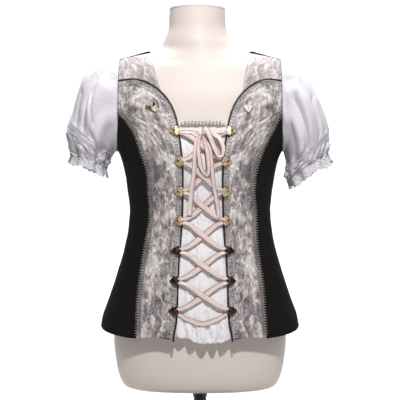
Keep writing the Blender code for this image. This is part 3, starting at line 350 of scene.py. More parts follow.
# %% Sections of the cloth and of the form
CLOTH_SECTIONS = (
    # z, half_width, front, back, squareness
    (0.24, 0.201, 0.129, 0.137, 2.15), (0.282, 0.1985, 0.126, 0.133, 2.15), (0.31, 0.1945, 0.1235, 0.129, 2.15),
    (0.342, 0.1835, 0.12, 0.123, 2.15), (0.374, 0.1725, 0.116, 0.116, 2.2), (0.422, 0.1575, 0.109, 0.105, 2.2),
    (0.454, 0.149, 0.1045, 0.0985, 2.2), (0.486, 0.143, 0.101, 0.094, 2.2), (0.518, 0.14, 0.1, 0.092, 2.2),
    (0.55, 0.143, 0.1035, 0.0925, 2.2), (0.582, 0.1475, 0.109, 0.095, 2.2), (0.612, 0.153, 0.1135, 0.0985, 2.25),
    (0.628, 0.158, 0.1145, 0.1, 2.3), (0.642, 0.164, 0.114, 0.101, 2.35), (0.66, 0.169, 0.1125, 0.102, 2.45),
    (0.7, 0.176, 0.107, 0.102, 2.6), (0.74, 0.18, 0.098, 0.098, 2.6), (0.78, 0.178, 0.086, 0.088, 2.3),
    (0.804, 0.172, 0.078, 0.078, 1.95), (0.817, 0.165, 0.073, 0.073, 1.7), (0.823, 0.16, 0.071, 0.071, 1.6),
    (0.829, 0.14, 0.0695, 0.0695, 1.55), (0.835, 0.119, 0.068, 0.068, 1.55), (0.841, 0.0985, 0.0665, 0.0665, 1.6),
    (0.848, 0.085, 0.065, 0.065, 1.75)
)
FORM_SECTIONS = (
    # z, half_width, front, back, squareness
    (0.16, 0.139, 0.084, 0.09, 2.3), (0.163, 0.148, 0.091, 0.097, 2.3), (0.172, 0.155, 0.096, 0.103, 2.25),
    (0.19, 0.1615, 0.1, 0.108, 2.25), (0.22, 0.167, 0.103, 0.113, 2.2), (0.262, 0.1715, 0.105, 0.116, 2.2),
    (0.31, 0.168, 0.105, 0.112, 2.2), (0.36, 0.158, 0.102, 0.103, 2.2), (0.422, 0.145, 0.096, 0.092, 2.2),
    (0.486, 0.134, 0.091, 0.084, 2.2), (0.518, 0.132, 0.0905, 0.083, 2.2), (0.55, 0.135, 0.094, 0.085, 2.2),
    (0.582, 0.14, 0.101, 0.089, 2.2), (0.628, 0.151, 0.1065, 0.095, 2.3), (0.66, 0.164, 0.105, 0.096, 2.45),
    (0.7, 0.171, 0.1, 0.0965, 2.6), (0.74, 0.175, 0.0935, 0.093, 2.6), (0.78, 0.1735, 0.0825, 0.084, 2.3),
    (0.802, 0.1692, 0.0762, 0.0763, 1.95), (0.8132, 0.1605, 0.07, 0.068, 1.7), (0.8186, 0.1565, 0.0683, 0.066, 1.6),
    (0.8242, 0.1375, 0.067, 0.0645, 1.55), (0.8302, 0.1165, 0.0655, 0.063, 1.55), (0.8368, 0.0965, 0.064, 0.064, 1.6),
    (0.8438, 0.082, 0.0627, 0.0627, 1.75), (0.853, 0.0725, 0.0617, 0.0617, 1.9), (0.866, 0.064, 0.059, 0.059, 2.0),
    (0.886, 0.0575, 0.056, 0.056, 2.0), (0.92, 0.0556, 0.055, 0.055, 2.0), (0.9265, 0.054, 0.0535, 0.0535, 2.0)
)
BUST_RISE, BUST_X, BUST_Z, BUST_SPREAD_X, BUST_SPREAD_Z = 0.013, 0.076, 0.618, 0.036, 0.044


def unit(vectors):
    """Vectors brought to length one."""
    return vectors / np.maximum(np.linalg.norm(vectors, axis=-1, keepdims=True), 1e-12)


def full_turn(count):
    """Angles once round, without the first one again at the end."""
    return np.linspace(0.0, 2 * math.pi, count, endpoint=False)


def steps_of(points):
    """The length of each step of a line of points."""
    return np.linalg.norm(np.diff(points, axis=0), axis=1)


def lengths_along(points):
    """The length along a line of points, up to each of them."""
    return np.concatenate([[0.0], np.cumsum(steps_of(points))])


def length_of(points):
    """The whole length of a line of points."""
    return float(steps_of(points).sum())


def smooth_steps(fraction):
    """A share held between nought and one, and level at both ends."""
    fraction = np.clip(fraction, 0.0, 1.0)
    return fraction * fraction * (3.0 - 2.0 * fraction)


def eased(table, value):
    """The table's further columns at a value of its first, by a cubic that never overshoots its rows."""
    rows = np.array(table, float)
    at, columns = rows[:, 0], rows[:, 1:]
    steps = np.diff(at)
    slopes = np.diff(columns, axis=0) / steps[:, None]
    tangents = np.vstack([slopes[:1], np.zeros((len(at) - 2, columns.shape[1])), slopes[-1:]])
    before, after = slopes[:-1], slopes[1:]
    same_way = before * after > 0
    total = np.where(same_way, before + after, 1.0)
    tangents[1:-1] = np.where(same_way, 2.0 * before * after / total, 0.0)
    value = np.clip(np.asarray(value, float), at[0], at[-1])
    row = np.clip(np.searchsorted(at, value, side="right") - 1, 0, len(at) - 2)
    step = steps[row][..., None]
    t = ((value - at[row]) / steps[row])[..., None]
    start, end = columns[row], columns[row + 1]
    return (
        (2 * t**3 - 3 * t**2 + 1) * start + (t**3 - 2 * t**2 + t) * step * tangents[row]
        + (-2 * t**3 + 3 * t**2) * end + (t**3 - t**2) * step * tangents[row + 1]
    )


def through(rows, count):
    """Points of a smooth line through rows of coordinates."""
    return eased(np.column_stack([np.linspace(0.0, 1.0, len(rows)), rows]), np.linspace(0.0, 1.0, count))


def section_point(table, angle, z):
    """The point of a body at an angle from its front and a height."""
    angle, z = np.broadcast_arrays(np.asarray(angle, float), np.asarray(z, float))
    half_width, front, back, square = np.moveaxis(eased(table, z), -1, 0)
    sine, cosine = np.sin(angle), np.cos(angle)
    x = half_width * np.sign(sine) * np.abs(sine) ** (2 / square)
    away = ((np.abs(x) - BUST_X) / BUST_SPREAD_X) ** 2 + ((z - BUST_Z) / BUST_SPREAD_Z) ** 2
    depth = np.where(cosine > 0, front + BUST_RISE * np.exp(-0.5 * away), back)
    y = -depth * np.sign(cosine) * np.abs(cosine) ** (2 / square)
    return np.stack([x, y, z], axis=-1)


def flat_cloth(angle, z, lift=0.0):
    """The uncreased cloth at an angle and a height, moved out along its normal."""
    step = 1e-3
    place = section_point(CLOTH_SECTIONS, angle, z)
    around = section_point(CLOTH_SECTIONS, angle + step, z) - section_point(CLOTH_SECTIONS, angle - step, z)
    upward = section_point(CLOTH_SECTIONS, angle, z + step) - section_point(CLOTH_SECTIONS, angle, z - step)
    return place + unit(np.cross(around, upward)) * np.asarray(lift)[..., None]


waist = section_point(CLOTH_SECTIONS, np.linspace(0, 2 * math.pi, 361), 0.518)
print("waist", round(length_of(waist), 3), "m round")

# %% [markdown]
# ## Creases one by one
#
# Worn cloth isn't smooth. Each main crease is a row in a table: where it starts and ends on the body, how wide it
# is, and how deep, with minus for a trough and plus for a ridge. It fades out at its ends. The rows differ in
# length, depth and spacing, as real creases do, and the back and sides, which the photograph doesn't show, get
# creases of the same kind. Finer crumple comes from a few crossed waves with unequal lengths.

# %% Creases of the bodice
CREASES = (
    # start degrees, start z, end degrees, end z, half width, depth
    (52, 0.535, 88, 0.523, 0.006, -0.0012), (60, 0.506, 92, 0.512, 0.007, 0.001),
    (55, 0.488, 84, 0.476, 0.0055, -0.0011), (66, 0.56, 90, 0.549, 0.006, -0.0008),
    (58, 0.448, 78, 0.462, 0.008, 0.0009), (70, 0.39, 86, 0.44, 0.009, -0.001),
    (-50, 0.54, -86, 0.53, 0.006, -0.0011), (-58, 0.515, -90, 0.506, 0.007, 0.0011),
    (-54, 0.495, -80, 0.48, 0.006, -0.001), (-64, 0.57, -88, 0.554, 0.007, -0.0009),
    (-62, 0.435, -84, 0.456, 0.008, 0.0008), (-72, 0.38, -82, 0.43, 0.009, -0.0009),
    (102, 0.538, 150, 0.526, 0.008, -0.0018), (110, 0.512, 168, 0.518, 0.009, 0.0014),
    (98, 0.492, 140, 0.478, 0.007, -0.0015), (128, 0.56, 172, 0.548, 0.008, -0.0012),
    (-104, 0.532, -155, 0.536, 0.008, -0.0017), (-112, 0.506, -170, 0.5, 0.009, 0.0013),
    (-100, 0.484, -138, 0.49, 0.007, -0.0014), (-130, 0.556, -174, 0.564, 0.008, -0.0011),
    (118, 0.43, 126, 0.305, 0.014, 0.0016), (150, 0.42, 152, 0.295, 0.015, 0.0014),
    (-122, 0.425, -128, 0.3, 0.014, 0.0015), (-154, 0.415, -158, 0.29, 0.015, 0.0013),
    (20, 0.642, 38, 0.654, 0.0045, -0.0006), (21, 0.623, 40, 0.618, 0.0045, 0.0006),
    (18, 0.503, 36, 0.512, 0.004, -0.0006), (18, 0.445, 38, 0.437, 0.004, -0.0007),
    (22, 0.423, 40, 0.43, 0.004, 0.0006), (24, 0.375, 37, 0.36, 0.0045, -0.0006),
    (-20, 0.636, -40, 0.649, 0.0045, -0.0006), (-22, 0.618, -38, 0.61, 0.0045, 0.0006),
    (-20, 0.501, -37, 0.51, 0.004, -0.0007), (-19, 0.446, -36, 0.44, 0.004, -0.0006),
    (-21, 0.427, -39, 0.42, 0.004, 0.0006), (-25, 0.365, -38, 0.38, 0.0045, -0.0006)
)
GIRTH = 0.15


def creased(angle, z):
    """How far the creases move the cloth out at an angle and a height."""
    degrees = np.degrees((np.asarray(angle) + math.pi) % (2 * math.pi) - math.pi)
    across, up = np.radians(degrees) * GIRTH, np.asarray(z)
    moved = np.zeros(np.broadcast(across, up).shape)
    for start, low, end, high, half_width, depth in CREASES:
        origin = np.array([math.radians(start) * GIRTH, low])
        run = np.array([math.radians(end) * GIRTH, high]) - origin
        length = np.linalg.norm(run)
        run /= length
        x, y = across - origin[0], up - origin[1]
        share = (x * run[0] + y * run[1]) / length
        bow = 0.06 * length * np.sin(math.pi * np.clip(share, 0, 1))
        off = (-x * run[1] + y * run[0] - bow) / half_width
        fade = smooth_steps(share / 0.3) * smooth_steps((1 - share) / 0.3)
        moved = moved + depth * np.exp(-0.5 * off**2) * fade
    rumple = (
        np.sin(across / 0.0071 + 3.1 * np.sin(up / 0.019)) + np.sin(up / 0.0083 + 2.3 * np.sin(across / 0.013) + 1.0)
        + np.sin((across + up) / 0.0123 + 1.7 * np.sin((across - up) / 0.023))
    )
    return moved + 0.00013 * rumple


def cloth_point(angle, z, lift=0.0):
    """The creased cloth at an angle and a height. Everything that is sewn on a panel uses it too."""
    return flat_cloth(angle, z, np.asarray(lift) + creased(angle, z))


print(len(CREASES), "creases")

# %% [markdown]
# ## Seams
#
# A pattern maker draws a seam as it looks from the front. So each seam is a short table of height and distance from
# the middle, turned into angles and heights on the body. A seam can be moved aside on the cloth, which gives the
# piping, the lace and the gimp the same line.

# %% Seam tables
OPENING = (
    # z, x
    (0.274, 0.056), (0.29, 0.0537), (0.31, 0.05), (0.33, 0.0485), (0.391, 0.0467), (0.431, 0.0445), (0.514, 0.0388),
    (0.59, 0.0378), (0.64, 0.0415), (0.698, 0.0508)
)
ARCH = (
    # x, z
    (0.0508, 0.698), (0.0571, 0.7165), (0.0668, 0.7345), (0.0786, 0.749), (0.0933, 0.7615), (0.111, 0.7715),
    (0.132, 0.7765), (0.159, 0.7755)
)
NECKLINE = (
    # z, x
    (0.748, 0.0776), (0.791, 0.0875), (0.82, 0.0945), (0.8405, 0.0996)
)
BACK_NECKLINE = (
    # x, z
    (0.0985, 0.8402), (0.094, 0.833), (0.08, 0.8215), (0.055, 0.812), (0.028, 0.8072), (0.0, 0.806)
)
OPENING_CENTRE = (
    # z, x
    (0.24, 0.0053), (0.7, 0.0053), (0.76, 0.004), (0.8, 0.0), (0.848, 0.0)
)
HEM = (
    # angle from the front in degrees, z
    (0, 0.2825), (22, 0.2815), (38, 0.278), (56, 0.2815), (72, 0.287), (90, 0.293), (130, 0.29), (180, 0.287)
)
# The bodice is turned a little to the wearer's left, so the two side seams differ.
SIDE_FRONT_SEAM = {
    "left": (
        # z, x
        (0.283, 0.1262), (0.3385, 0.1228), (0.3873, 0.1192), (0.4117, 0.1157), (0.4364, 0.1119), (0.4608, 0.1092),
        (0.4852, 0.1085), (0.5098, 0.1076), (0.5343, 0.1056), (0.5587, 0.1038), (0.5831, 0.105), (0.6076, 0.11),
        (0.6322, 0.1182), (0.6566, 0.13), (0.678, 0.1415), (0.696, 0.1505), (0.712, 0.159)
    ),
    "right": (
        # z, x
        (0.283, 0.1212), (0.3385, 0.1196), (0.3873, 0.1155), (0.4364, 0.1084), (0.4608, 0.1038), (0.4852, 0.0995),
        (0.5109, 0.0962), (0.533, 0.0962), (0.5551, 0.0978), (0.5771, 0.0985), (0.5992, 0.101), (0.6213, 0.1086),
        (0.6433, 0.1159), (0.6654, 0.1238), (0.682, 0.133), (0.698, 0.145), (0.712, 0.159)
    )
}
NECK_JOIN_X = 0.0776
NECK_POINT_X = 0.0996
SHOULDER_SEAM_ANGLE = math.radians(68)
SHOULDER_GAP = 0.0013
SIDE_SEAM_ANGLE = math.radians(94)
SHOULDER_Z = 0.823
SHOULDER_LOW_Z = 0.79
SHOULDER_TOP_Z = 0.847
ARMHOLE_X = 0.16
ARMPIT_FLARE = 0.003
ARMPIT_Z = 0.6415


def centre_x(z):
    """How far the opening's middle lies to the wearer's left of the body's."""
    return eased(OPENING_CENTRE, z)[..., 0]


def edge_x(z, side):
    """The distance of a front edge from the body's middle."""
    return side * float(eased(OPENING, z)[0]) + float(centre_x(z))


def off_centre(rows, side):
    """Rows of height and distance from the opening's middle, turned into distances from the body's middle."""
    return [(z, x + side * float(centre_x(z))) for z, x in rows]


def angle_at(x, z):
    """The angle from the front at which the cloth has this distance from the centre."""
    half_width, square = eased(CLOTH_SECTIONS, z)[..., [0, 3]].T
    share = np.clip(np.abs(x).T / half_width, 0.0, 1.0)
    return (np.sign(x).T * np.arcsin(share ** (square / 2))).T


def armhole_x(z):
    """How far out the armhole lies, with its flare at the armpit."""
    return ARMHOLE_X + ARMPIT_FLARE * smooth_steps((0.7 - z) / 0.055)


def along(points, count):
    """Points spaced evenly by real length along a line of angles and heights on the cloth."""
    lengths = lengths_along(flat_cloth(points[:, 0], points[:, 1]))
    wanted = np.linspace(0.0, lengths[-1], count)
    return np.stack([np.interp(wanted, lengths, points[:, k]) for k in range(2)], axis=1)


def seen_line(table, count, aside=0.0):
    """A seam given by height and distance from the centre, as angles and heights, moved aside on the cloth."""
    line = through(table, 25 * len(table))[:, ::-1]
    if aside:
        away = unit(np.gradient(line, axis=0))
        line = line + aside * np.column_stack([away[:, 1], -away[:, 0]])
    return along(np.column_stack([angle_at(line[:, 0], line[:, 1]), line[:, 1]]), count)


def between(start, end, count):
    """A straight row of points."""
    return np.linspace(np.asarray(start, float), np.asarray(end, float), count)


def hem_height(angle):
    """The hem's height at an angle."""
    turned = np.degrees(np.abs((angle + math.pi) % (2 * math.pi) - math.pi))
    return eased(HEM, turned)[..., 0]


def height_at(angle, x):
    """The height, near the shoulder, at which the cloth has this distance from the centre at an angle."""
    z = np.linspace(SHOULDER_LOW_Z, SHOULDER_TOP_Z, 400)
    return float(np.interp(-x, -section_point(CLOTH_SECTIONS, angle, z)[:, 0], z))


def armhole_line(low_z, high_z, count, back=False):
    """A stretch of the armhole's edge, upwards, at the front or the back."""
    share = 0.5 - 0.5 * np.cos(np.linspace(0.0, math.pi, 200))
    z = low_z + (high_z - low_z) * share
    angle = angle_at(armhole_x(z), z)
    if back:
        angle = math.pi - angle
    return along(np.column_stack([angle, z]), count)


def front_edge(aside, side, count=480):
    """The line of the front edge and the arched seam above it, moved aside on the cloth."""
    whole = off_centre(list(OPENING) + [(z, x) for x, z in ARCH[1:]], side)
    whole[-1] = (whole[-1][0], ARCH[-1][0])
    return seen_line(whole, count, aside)


print("front edge", len(front_edge(0.0, 1)), "points")

# %% [markdown]
# ## Cutting and thickening a panel
#
# A panel is a grid of points filled between its four seams, as a maker irons a piece flat between its edges. Its
# wall is a second grid one cloth thickness inside, and quads close the rim, so the piece is a real thin sheet. The
# UV map holds the distance along the cloth in metres.


# %% Grids, walls and pieces
def patch(low, high, left, right):
    """A four-sided patch filled between its edges. Low and high run left to right, the others upwards."""
    s = np.linspace(0.0, 1.0, len(low))[None, :, None]
    t = np.linspace(0.0, 1.0, len(left))[:, None, None]
    ruled = (1 - t) * low[None] + t * high[None] + (1 - s) * left[:, None] + s * right[:, None]
    corners = (1 - s) * (1 - t) * low[0] + s * (1 - t) * low[-1] + (1 - s) * t * high[0] + s * t * high[-1]
    return ruled - corners


def grid_normals(points, closed=False):
    """Unit normals of a grid, out of the body for a grid that runs left and up as seen from outside."""
    if closed:
        around = np.roll(points, -1, axis=1) - np.roll(points, 1, axis=1)
    else:
        around = np.gradient(points, axis=1)
    return unit(np.cross(around, np.gradient(points, axis=0)))


def wrapped(points, closed):
    """A grid with its first column again at the end, where it closes on itself."""
    return np.concatenate([points, points[:, :1]], axis=1) if closed else points


def along_cloth(points, closed=False):
    """Distance across and up the cloth at each point of a grid, for its UV map."""
    wide = wrapped(points, closed)
    across = np.linalg.norm(np.diff(wide, axis=1), axis=-1).mean(axis=0)
    upward = np.linalg.norm(np.diff(points, axis=0), axis=-1).mean(axis=1)
    u = np.concatenate([[0.0], np.cumsum(across)])
    v = np.concatenate([[0.0], np.cumsum(upward)])
    return np.stack(np.meshgrid(u, v), axis=-1)


def show(name, data, material, nodes=None, place=None):
    """Put finished data in the scene, on the root body. It stands for its CAD nodes, or the one of its name."""
    piece = bpy.data.objects.new(name, data)
    bpy.context.scene.collection.objects.link(piece)
    data.materials.append(material)
    if place:
        piece.matrix_world = place
    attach(piece, "root")
    nodes = [name] if nodes is None else nodes
    if nodes:
        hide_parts(*nodes)
    return piece


def sheet_mesh(name, outside, inside, closed=False, turned=False, keep=None):
    """A closed thin sheet between two grids. Keep marks the cells that aren't cut away."""
    rows, columns = outside.shape[:2]
    cells = np.ones((rows - 1, columns if closed else columns - 1), bool) if keep is None else keep
    row, column = np.nonzero(cells)
    beside = (column + 1) % columns
    count = rows * columns
    corners = np.stack(
        [row * columns + column, row * columns + beside, (row + 1) * columns + beside, (row + 1) * columns + column],
        axis=1
    )
    uv = along_cloth(outside, closed)
    corner_uv = np.stack([uv[row, column], uv[row, column + 1], uv[row + 1, column + 1], uv[row + 1, column]], axis=1)
    faces, face_uv = [corners, corners[:, ::-1] + count], [corner_uv, corner_uv[:, ::-1]]
    padded = np.zeros((cells.shape[0] + 2, cells.shape[1] + 2), bool)
    padded[1:-1, 1:-1] = cells
    if closed:
        padded[1:-1, 0], padded[1:-1, -1] = cells[:, -1], cells[:, 0]
    sides = (
        # neighbour row, neighbour column, first corner, second corner
        (-1, 0, 0, 1), (0, 1, 1, 2), (1, 0, 2, 3), (0, -1, 3, 0)
    )
    for down, beside_it, first, second in sides:
        rim = ~padded[1 + row + down, 1 + column + beside_it]
        a, b = corners[rim, first], corners[rim, second]
        faces.append(np.stack([b, a, a + count, b + count], axis=1))
        edge = corner_uv[rim]
        face_uv.append(np.stack([edge[:, second], edge[:, first], edge[:, first], edge[:, second]], axis=1))
    faces, face_uv = np.concatenate(faces), np.concatenate(face_uv)
    if turned:
        faces, face_uv = faces[:, ::-1], face_uv[:, ::-1]
    spots = np.concatenate([outside.reshape(-1, 3), inside.reshape(-1, 3)])
    used, faces = np.unique(faces, return_inverse=True)
    mesh = bpy.data.meshes.new(name)
    mesh.from_pydata(spots[used].tolist(), [], faces.reshape(-1, 4).tolist())
    mesh.uv_layers.new(name="along_the_cloth").data.foreach_set("uv", face_uv.reshape(-1))
    mesh.shade_smooth()
    return mesh


def cut_panel(name, grid, side, wall, material, lift=0.0):
    """A bodice panel from a grid of angles and heights on the wearer's left, mirrored for the right side."""
    angle, z = grid[..., 0] * side, grid[..., 1]
    lift = np.broadcast_to(lift, z.shape)
    outside, inside = cloth_point(angle, z, lift), cloth_point(angle, z, lift - wall)
    piece = show(name, sheet_mesh(name, outside, inside, turned=side < 0), material)


WALL = 0.0014
SEAM_GAP = 0.0003
PIPING_RADIUS = 0.0017
EDGE_TO_PIPING = PIPING_RADIUS + SEAM_GAP
print("wall", WALL)

# %% [markdown]
# ## Fronts and yokes
#
# The patterned front runs from the hem to the arched seam over the bust, and the smoother yoke goes on from there to
# the shoulder. Both are stretched lightly over the form, with small creases where the lacing pulls at the hooks.

# %% Patterned fronts
FRONT_ROWS, FRONT_SEAM_ROWS, FRONT_COLUMNS = 190, 158, 34
ARCH_SHARE = 0.86
for word, side in SIDES:
    edge = front_edge(EDGE_TO_PIPING, side)
    cut = int(round(ARCH_SHARE * (len(edge) - 1)))
    top = along(edge[cut:], FRONT_COLUMNS)
    seam = seen_line(SIDE_FRONT_SEAM[word], FRONT_SEAM_ROWS, -SEAM_GAP / 2)
    seam[0, 1] = hem_height(seam[0, 0])
    armhole = armhole_line(seam[-1, 1], edge[-1, 1], FRONT_ROWS - FRONT_SEAM_ROWS + 1)
    outer = np.vstack([seam, armhole[1:-1], top[-1:]])
    inner = along(edge[: cut + 1], len(outer))
    inner[0, 1] = hem_height(inner[0, 0])
    low = between(inner[0], outer[0], FRONT_COLUMNS)
    low[:, 1] = hem_height(low[:, 0])
    grid = patch(low, top, inner, outer)
    cut_panel(f"front_panel_{word}", grid, side, WALL, crinkled_jacquard)

# %% Yokes
YOKE_ROWS, YOKE_COLUMNS = 50, 44
YOKE_CORNER_Z, YOKE_LOW_Z, NECKLINE_END = 0.749, 0.73, 0.004
# The shoulder seam runs forward to the neck, so that the black back shows beside the yoke there.
NECK_SEAM_ANGLE = SHOULDER_SEAM_ANGLE - math.radians(16)
ARM_SEAM_ANGLE = SHOULDER_SEAM_ANGLE + math.radians(12)
neck_point = (NECK_SEAM_ANGLE, height_at(NECK_SEAM_ANGLE, NECK_POINT_X))
shoulder_point = (ARM_SEAM_ANGLE, height_at(ARM_SEAM_ANGLE, ARMHOLE_X))
neckline = [row for row in NECKLINE if row[0] < neck_point[1] - NECKLINE_END] + [(neck_point[1], NECK_POINT_X)]
for word, side in SIDES:
    edge = front_edge(-EDGE_TO_PIPING, side)
    join = angle_at(np.array(NECK_JOIN_X + side * float(centre_x(YOKE_CORNER_Z))), np.array(YOKE_CORNER_Z))
    low = along(edge[(edge[:, 1] > YOKE_LOW_Z) & (edge[:, 0] > join)], YOKE_COLUMNS)
    inner = seen_line(off_centre(neckline, side), YOKE_ROWS)
    inner[0], inner[-1] = low[0], neck_point
    outer = armhole_line(low[-1, 1], shoulder_point[1], YOKE_ROWS)
    low[-1], outer[-1] = outer[0], shoulder_point
    grid = patch(low, between(neck_point, shoulder_point, YOKE_COLUMNS), inner, outer)
    cut_panel(f"yoke_{word}", grid, side, WALL, smooth_jacquard)

# %% [markdown]
# ## Black sides and back
#
# The sides and back are cut from a knit, so they follow the waist closely, with soft wrinkles where it is narrowest.
# The back goes over the shoulders in one piece. Its upper half can't be laid out by angle and height, because the
# cloth turns over there, so that half is filled in distance from the middle and length up the cloth.

# %% Side panels
SIDE_ROWS, SIDE_COLUMNS, SIDE_TOP_POINTS = 150, 40, 60
SIDE_REACH, SHOULDER_REACH = 0.17, 0.05  # How far a gap lies from the axis, to turn it into an angle.
back_turn = SIDE_SEAM_ANGLE - SEAM_GAP / 2 / SIDE_REACH
side_seam = np.column_stack([np.full(SIDE_ROWS, back_turn), np.linspace(hem_height(back_turn), ARMPIT_Z, SIDE_ROWS)])
for word, side in SIDES:
    seam = seen_line(SIDE_FRONT_SEAM[word], SIDE_ROWS, SEAM_GAP / 2)
    seam[0, 1] = hem_height(seam[0, 0])
    armhole = armhole_line(ARMPIT_Z, seam[-1, 1], SIDE_TOP_POINTS)[::-1]
    top = along(np.vstack([armhole, side_seam[-1:]]), SIDE_COLUMNS)
    top[0] = seam[-1]
    low = between(seam[0], side_seam[0], SIDE_COLUMNS)
    low[:, 1] = hem_height(low[:, 0])
    grid = patch(low, top, seam, side_seam)
    cut_panel(f"side_panel_{word}", grid, side, WALL, black_jersey)


# %% Back panel
def over_the_shoulder(x):
    """The cloth's line at a distance from the centre: up the back, over the shoulder and down the front."""
    heights = np.linspace(SHOULDER_LOW_Z, SHOULDER_TOP_Z, 400)
    crest = float(np.interp(-x, -eased(CLOTH_SECTIONS, heights)[:, 0], heights))
    up = ARMPIT_Z + (crest - ARMPIT_Z) * np.sin(np.linspace(0.0, math.pi / 2, 150))
    front = angle_at(np.full(len(up), x), up)
    line = np.vstack([np.column_stack([math.pi - front, up]), np.column_stack([front, up])[::-1][1:]])
    return line, lengths_along(section_point(CLOTH_SECTIONS, line[:, 0], line[:, 1]))


def to_flat(points):
    """Angles and heights on the back or shoulder as distance from the centre and length up the cloth."""
    flat = []
    for angle, z in points:
        x = float(section_point(CLOTH_SECTIONS, angle, z)[0])
        line, lengths = over_the_shoulder(x)
        half = len(line) // 2 + 1
        if angle >= math.pi / 2:
            flat.append((x, float(np.interp(z, line[:half, 1], lengths[:half]))))
        else:
            flat.append((x, float(np.interp(-z, -line[half - 1 :, 1], lengths[half - 1 :]))))
    return np.array(flat)


def from_flat(flat):
    """The other way: distance and length as angles and heights."""
    points = np.empty_like(flat)
    for spot in np.ndindex(flat.shape[:2]):
        line, lengths = over_the_shoulder(flat[spot][0])
        points[spot] = [np.interp(flat[spot][1], lengths, line[:, k]) for k in range(2)]
    return points


BACK_ROWS, BACK_COLUMNS, BACK_ARM_ROWS, BACK_SHOULDER_COLUMNS = 110, 46, 70, 16
turn = SIDE_SEAM_ANGLE + SEAM_GAP / 2 / SIDE_REACH
side_seam = np.column_stack([np.full(BACK_ROWS, turn), np.linspace(hem_height(turn), ARMPIT_Z, BACK_ROWS)])
low = between(side_seam[0], (math.pi, 0.0), BACK_COLUMNS)
low[:, 1] = hem_height(low[:, 0])
level = between(side_seam[-1], (math.pi, ARMPIT_Z), BACK_COLUMNS)
lower = patch(low, level, side_seam, between(low[-1], level[-1], BACK_ROWS))
arm_angle = ARM_SEAM_ANGLE + SHOULDER_GAP / SHOULDER_REACH
neck_angle = NECK_SEAM_ANGLE + SHOULDER_GAP / SHOULDER_REACH
shoulder_point = (arm_angle, height_at(arm_angle, ARMHOLE_X))
neck_point = (neck_angle, height_at(neck_angle, NECK_POINT_X))
up_the_back = armhole_line(ARMPIT_Z + 0.0015, SHOULDER_Z, 80, back=True)
over_the_top = armhole_line(shoulder_point[1], SHOULDER_Z, 20)[::-1]
armhole = np.vstack([side_seam[-1:], up_the_back, over_the_top[1:-1], [shoulder_point]])
left = to_flat(along(armhole, BACK_ARM_ROWS))
shoulder = between(shoulder_point, neck_point, BACK_SHOULDER_COLUMNS)
seen = through(BACK_NECKLINE, 60)
behind = np.column_stack([math.pi - angle_at(seen[:, 0], seen[:, 1]), seen[:, 1]])
neckline = along(np.vstack([[neck_point], behind]), BACK_COLUMNS - BACK_SHOULDER_COLUMNS + 1)
top = to_flat(np.vstack([shoulder, neckline[1:]]))
bottom = to_flat(level)
upper = from_flat(patch(bottom, top, left, between(bottom[-1], top[-1], BACK_ARM_ROWS)))
half = np.concatenate([lower, upper[1:]])
other = half[:, :-1][:, ::-1].copy()
other[..., 0] = 2 * math.pi - other[..., 0]
cut_panel("back_panel", np.concatenate([half, other], axis=1), 1, WALL, black_jersey)

# %% [markdown]
# ## The insert and its ruffle
#
# The insert is a straight strip of crinkle cotton, gathered so that its creases run upright, and left loose under
# the lacing. Its lower end hangs free below the hem as a small ruffle. Each crease is a wave whose place drifts
# with the height, so no two run quite parallel, and the waves open out towards the free edge.

# %% Insert
INSERT_TOP_Z, INSERT_WALL, INSERT_DEPTH = 0.681, 0.0012, 0.0024
INSERT_TUCK = (
    # z, how far the insert reaches behind each front
    (0.27, -0.005), (0.283, 0.001), (0.308, 0.007)
)
RUFFLE_TOP_Z, RUFFLE_LOW_Z, RUFFLE_DEPTH = 0.326, 0.27, 0.0056
RUFFLE_EDGE = (
    # share of the half width, height of the free edge
    (-1.0, 0.2842), (-0.6, 0.28), (-0.44, 0.2792), (-0.3, 0.2732), (0.0, 0.2704), (0.3, 0.2712), (0.62, 0.2718),
    (0.8, 0.2756), (1.0, 0.2802)
)
RUFFLE_FOLDS = (
    # share of the half width, half width of the fold, height of the fold as a share of RUFFLE_DEPTH
    (-0.86, 0.07, 0.9), (-0.66, 0.06, -0.8), (-0.47, 0.08, 1.0), (-0.28, 0.06, -1.0), (-0.06, 0.1, 0.8),
    (0.16, 0.06, -0.9), (0.34, 0.08, 1.0), (0.52, 0.05, -1.0), (0.7, 0.08, 0.8), (0.87, 0.05, -0.7)
)
INSERT_ROWS, INSERT_COLUMNS = 180, 120


def insert_half_width(z):
    """Half the insert's width, with what reaches behind each front."""
    return eased(OPENING, z)[..., 0] + eased(INSERT_TUCK, z)[..., 0]


s = np.linspace(-1.0, 1.0, INSERT_COLUMNS)[None, :]
t = np.linspace(0.0, 1.0, INSERT_ROWS)[:, None]
low_z = eased(RUFFLE_EDGE, s)[..., 0] + 0.0007 * np.cos(s * 31 + 1.0)
z = low_z + (INSERT_TOP_Z - low_z) * t
x = centre_x(z) + s * insert_half_width(z)
free = smooth_steps((RUFFLE_TOP_Z - z) / (RUFFLE_TOP_Z - RUFFLE_LOW_Z))
clear = smooth_steps((1.0 - np.abs(s)) / 0.22)
drift = 0.9 * np.sin(z / 0.031 + 3 * s) + 0.5 * np.sin(z / 0.013 + 1.0 - 5 * s)
slant = 1.4 * np.sin(z / 0.045 + 1.7 * s)
crinkle = np.sin(s * 21 + drift + 2 * slant) + 0.7 * np.sin(
    s * 34 - 1.3 * drift + z / 0.011
) + 0.5 * np.sin(s * 13 - z / 0.017)
lean = 0.05 * np.sin(z / 0.012) * free
fold = sum(height * np.exp(-(((s - at + lean) / half) ** 2)) for at, half, height in RUFFLE_FOLDS)
fold = fold + 0.15 * np.sin(s * 29 + 2 * free)
lift = -INSERT_DEPTH - 0.0009 + clear * (0.00045 * fold + 0.0004 * crinkle + RUFFLE_DEPTH * free * fold)
grid = np.stack([angle_at(x, z), z], axis=-1)
cut_panel("insert_panel", grid, 1, INSERT_WALL, crinkle_cotton, lift)

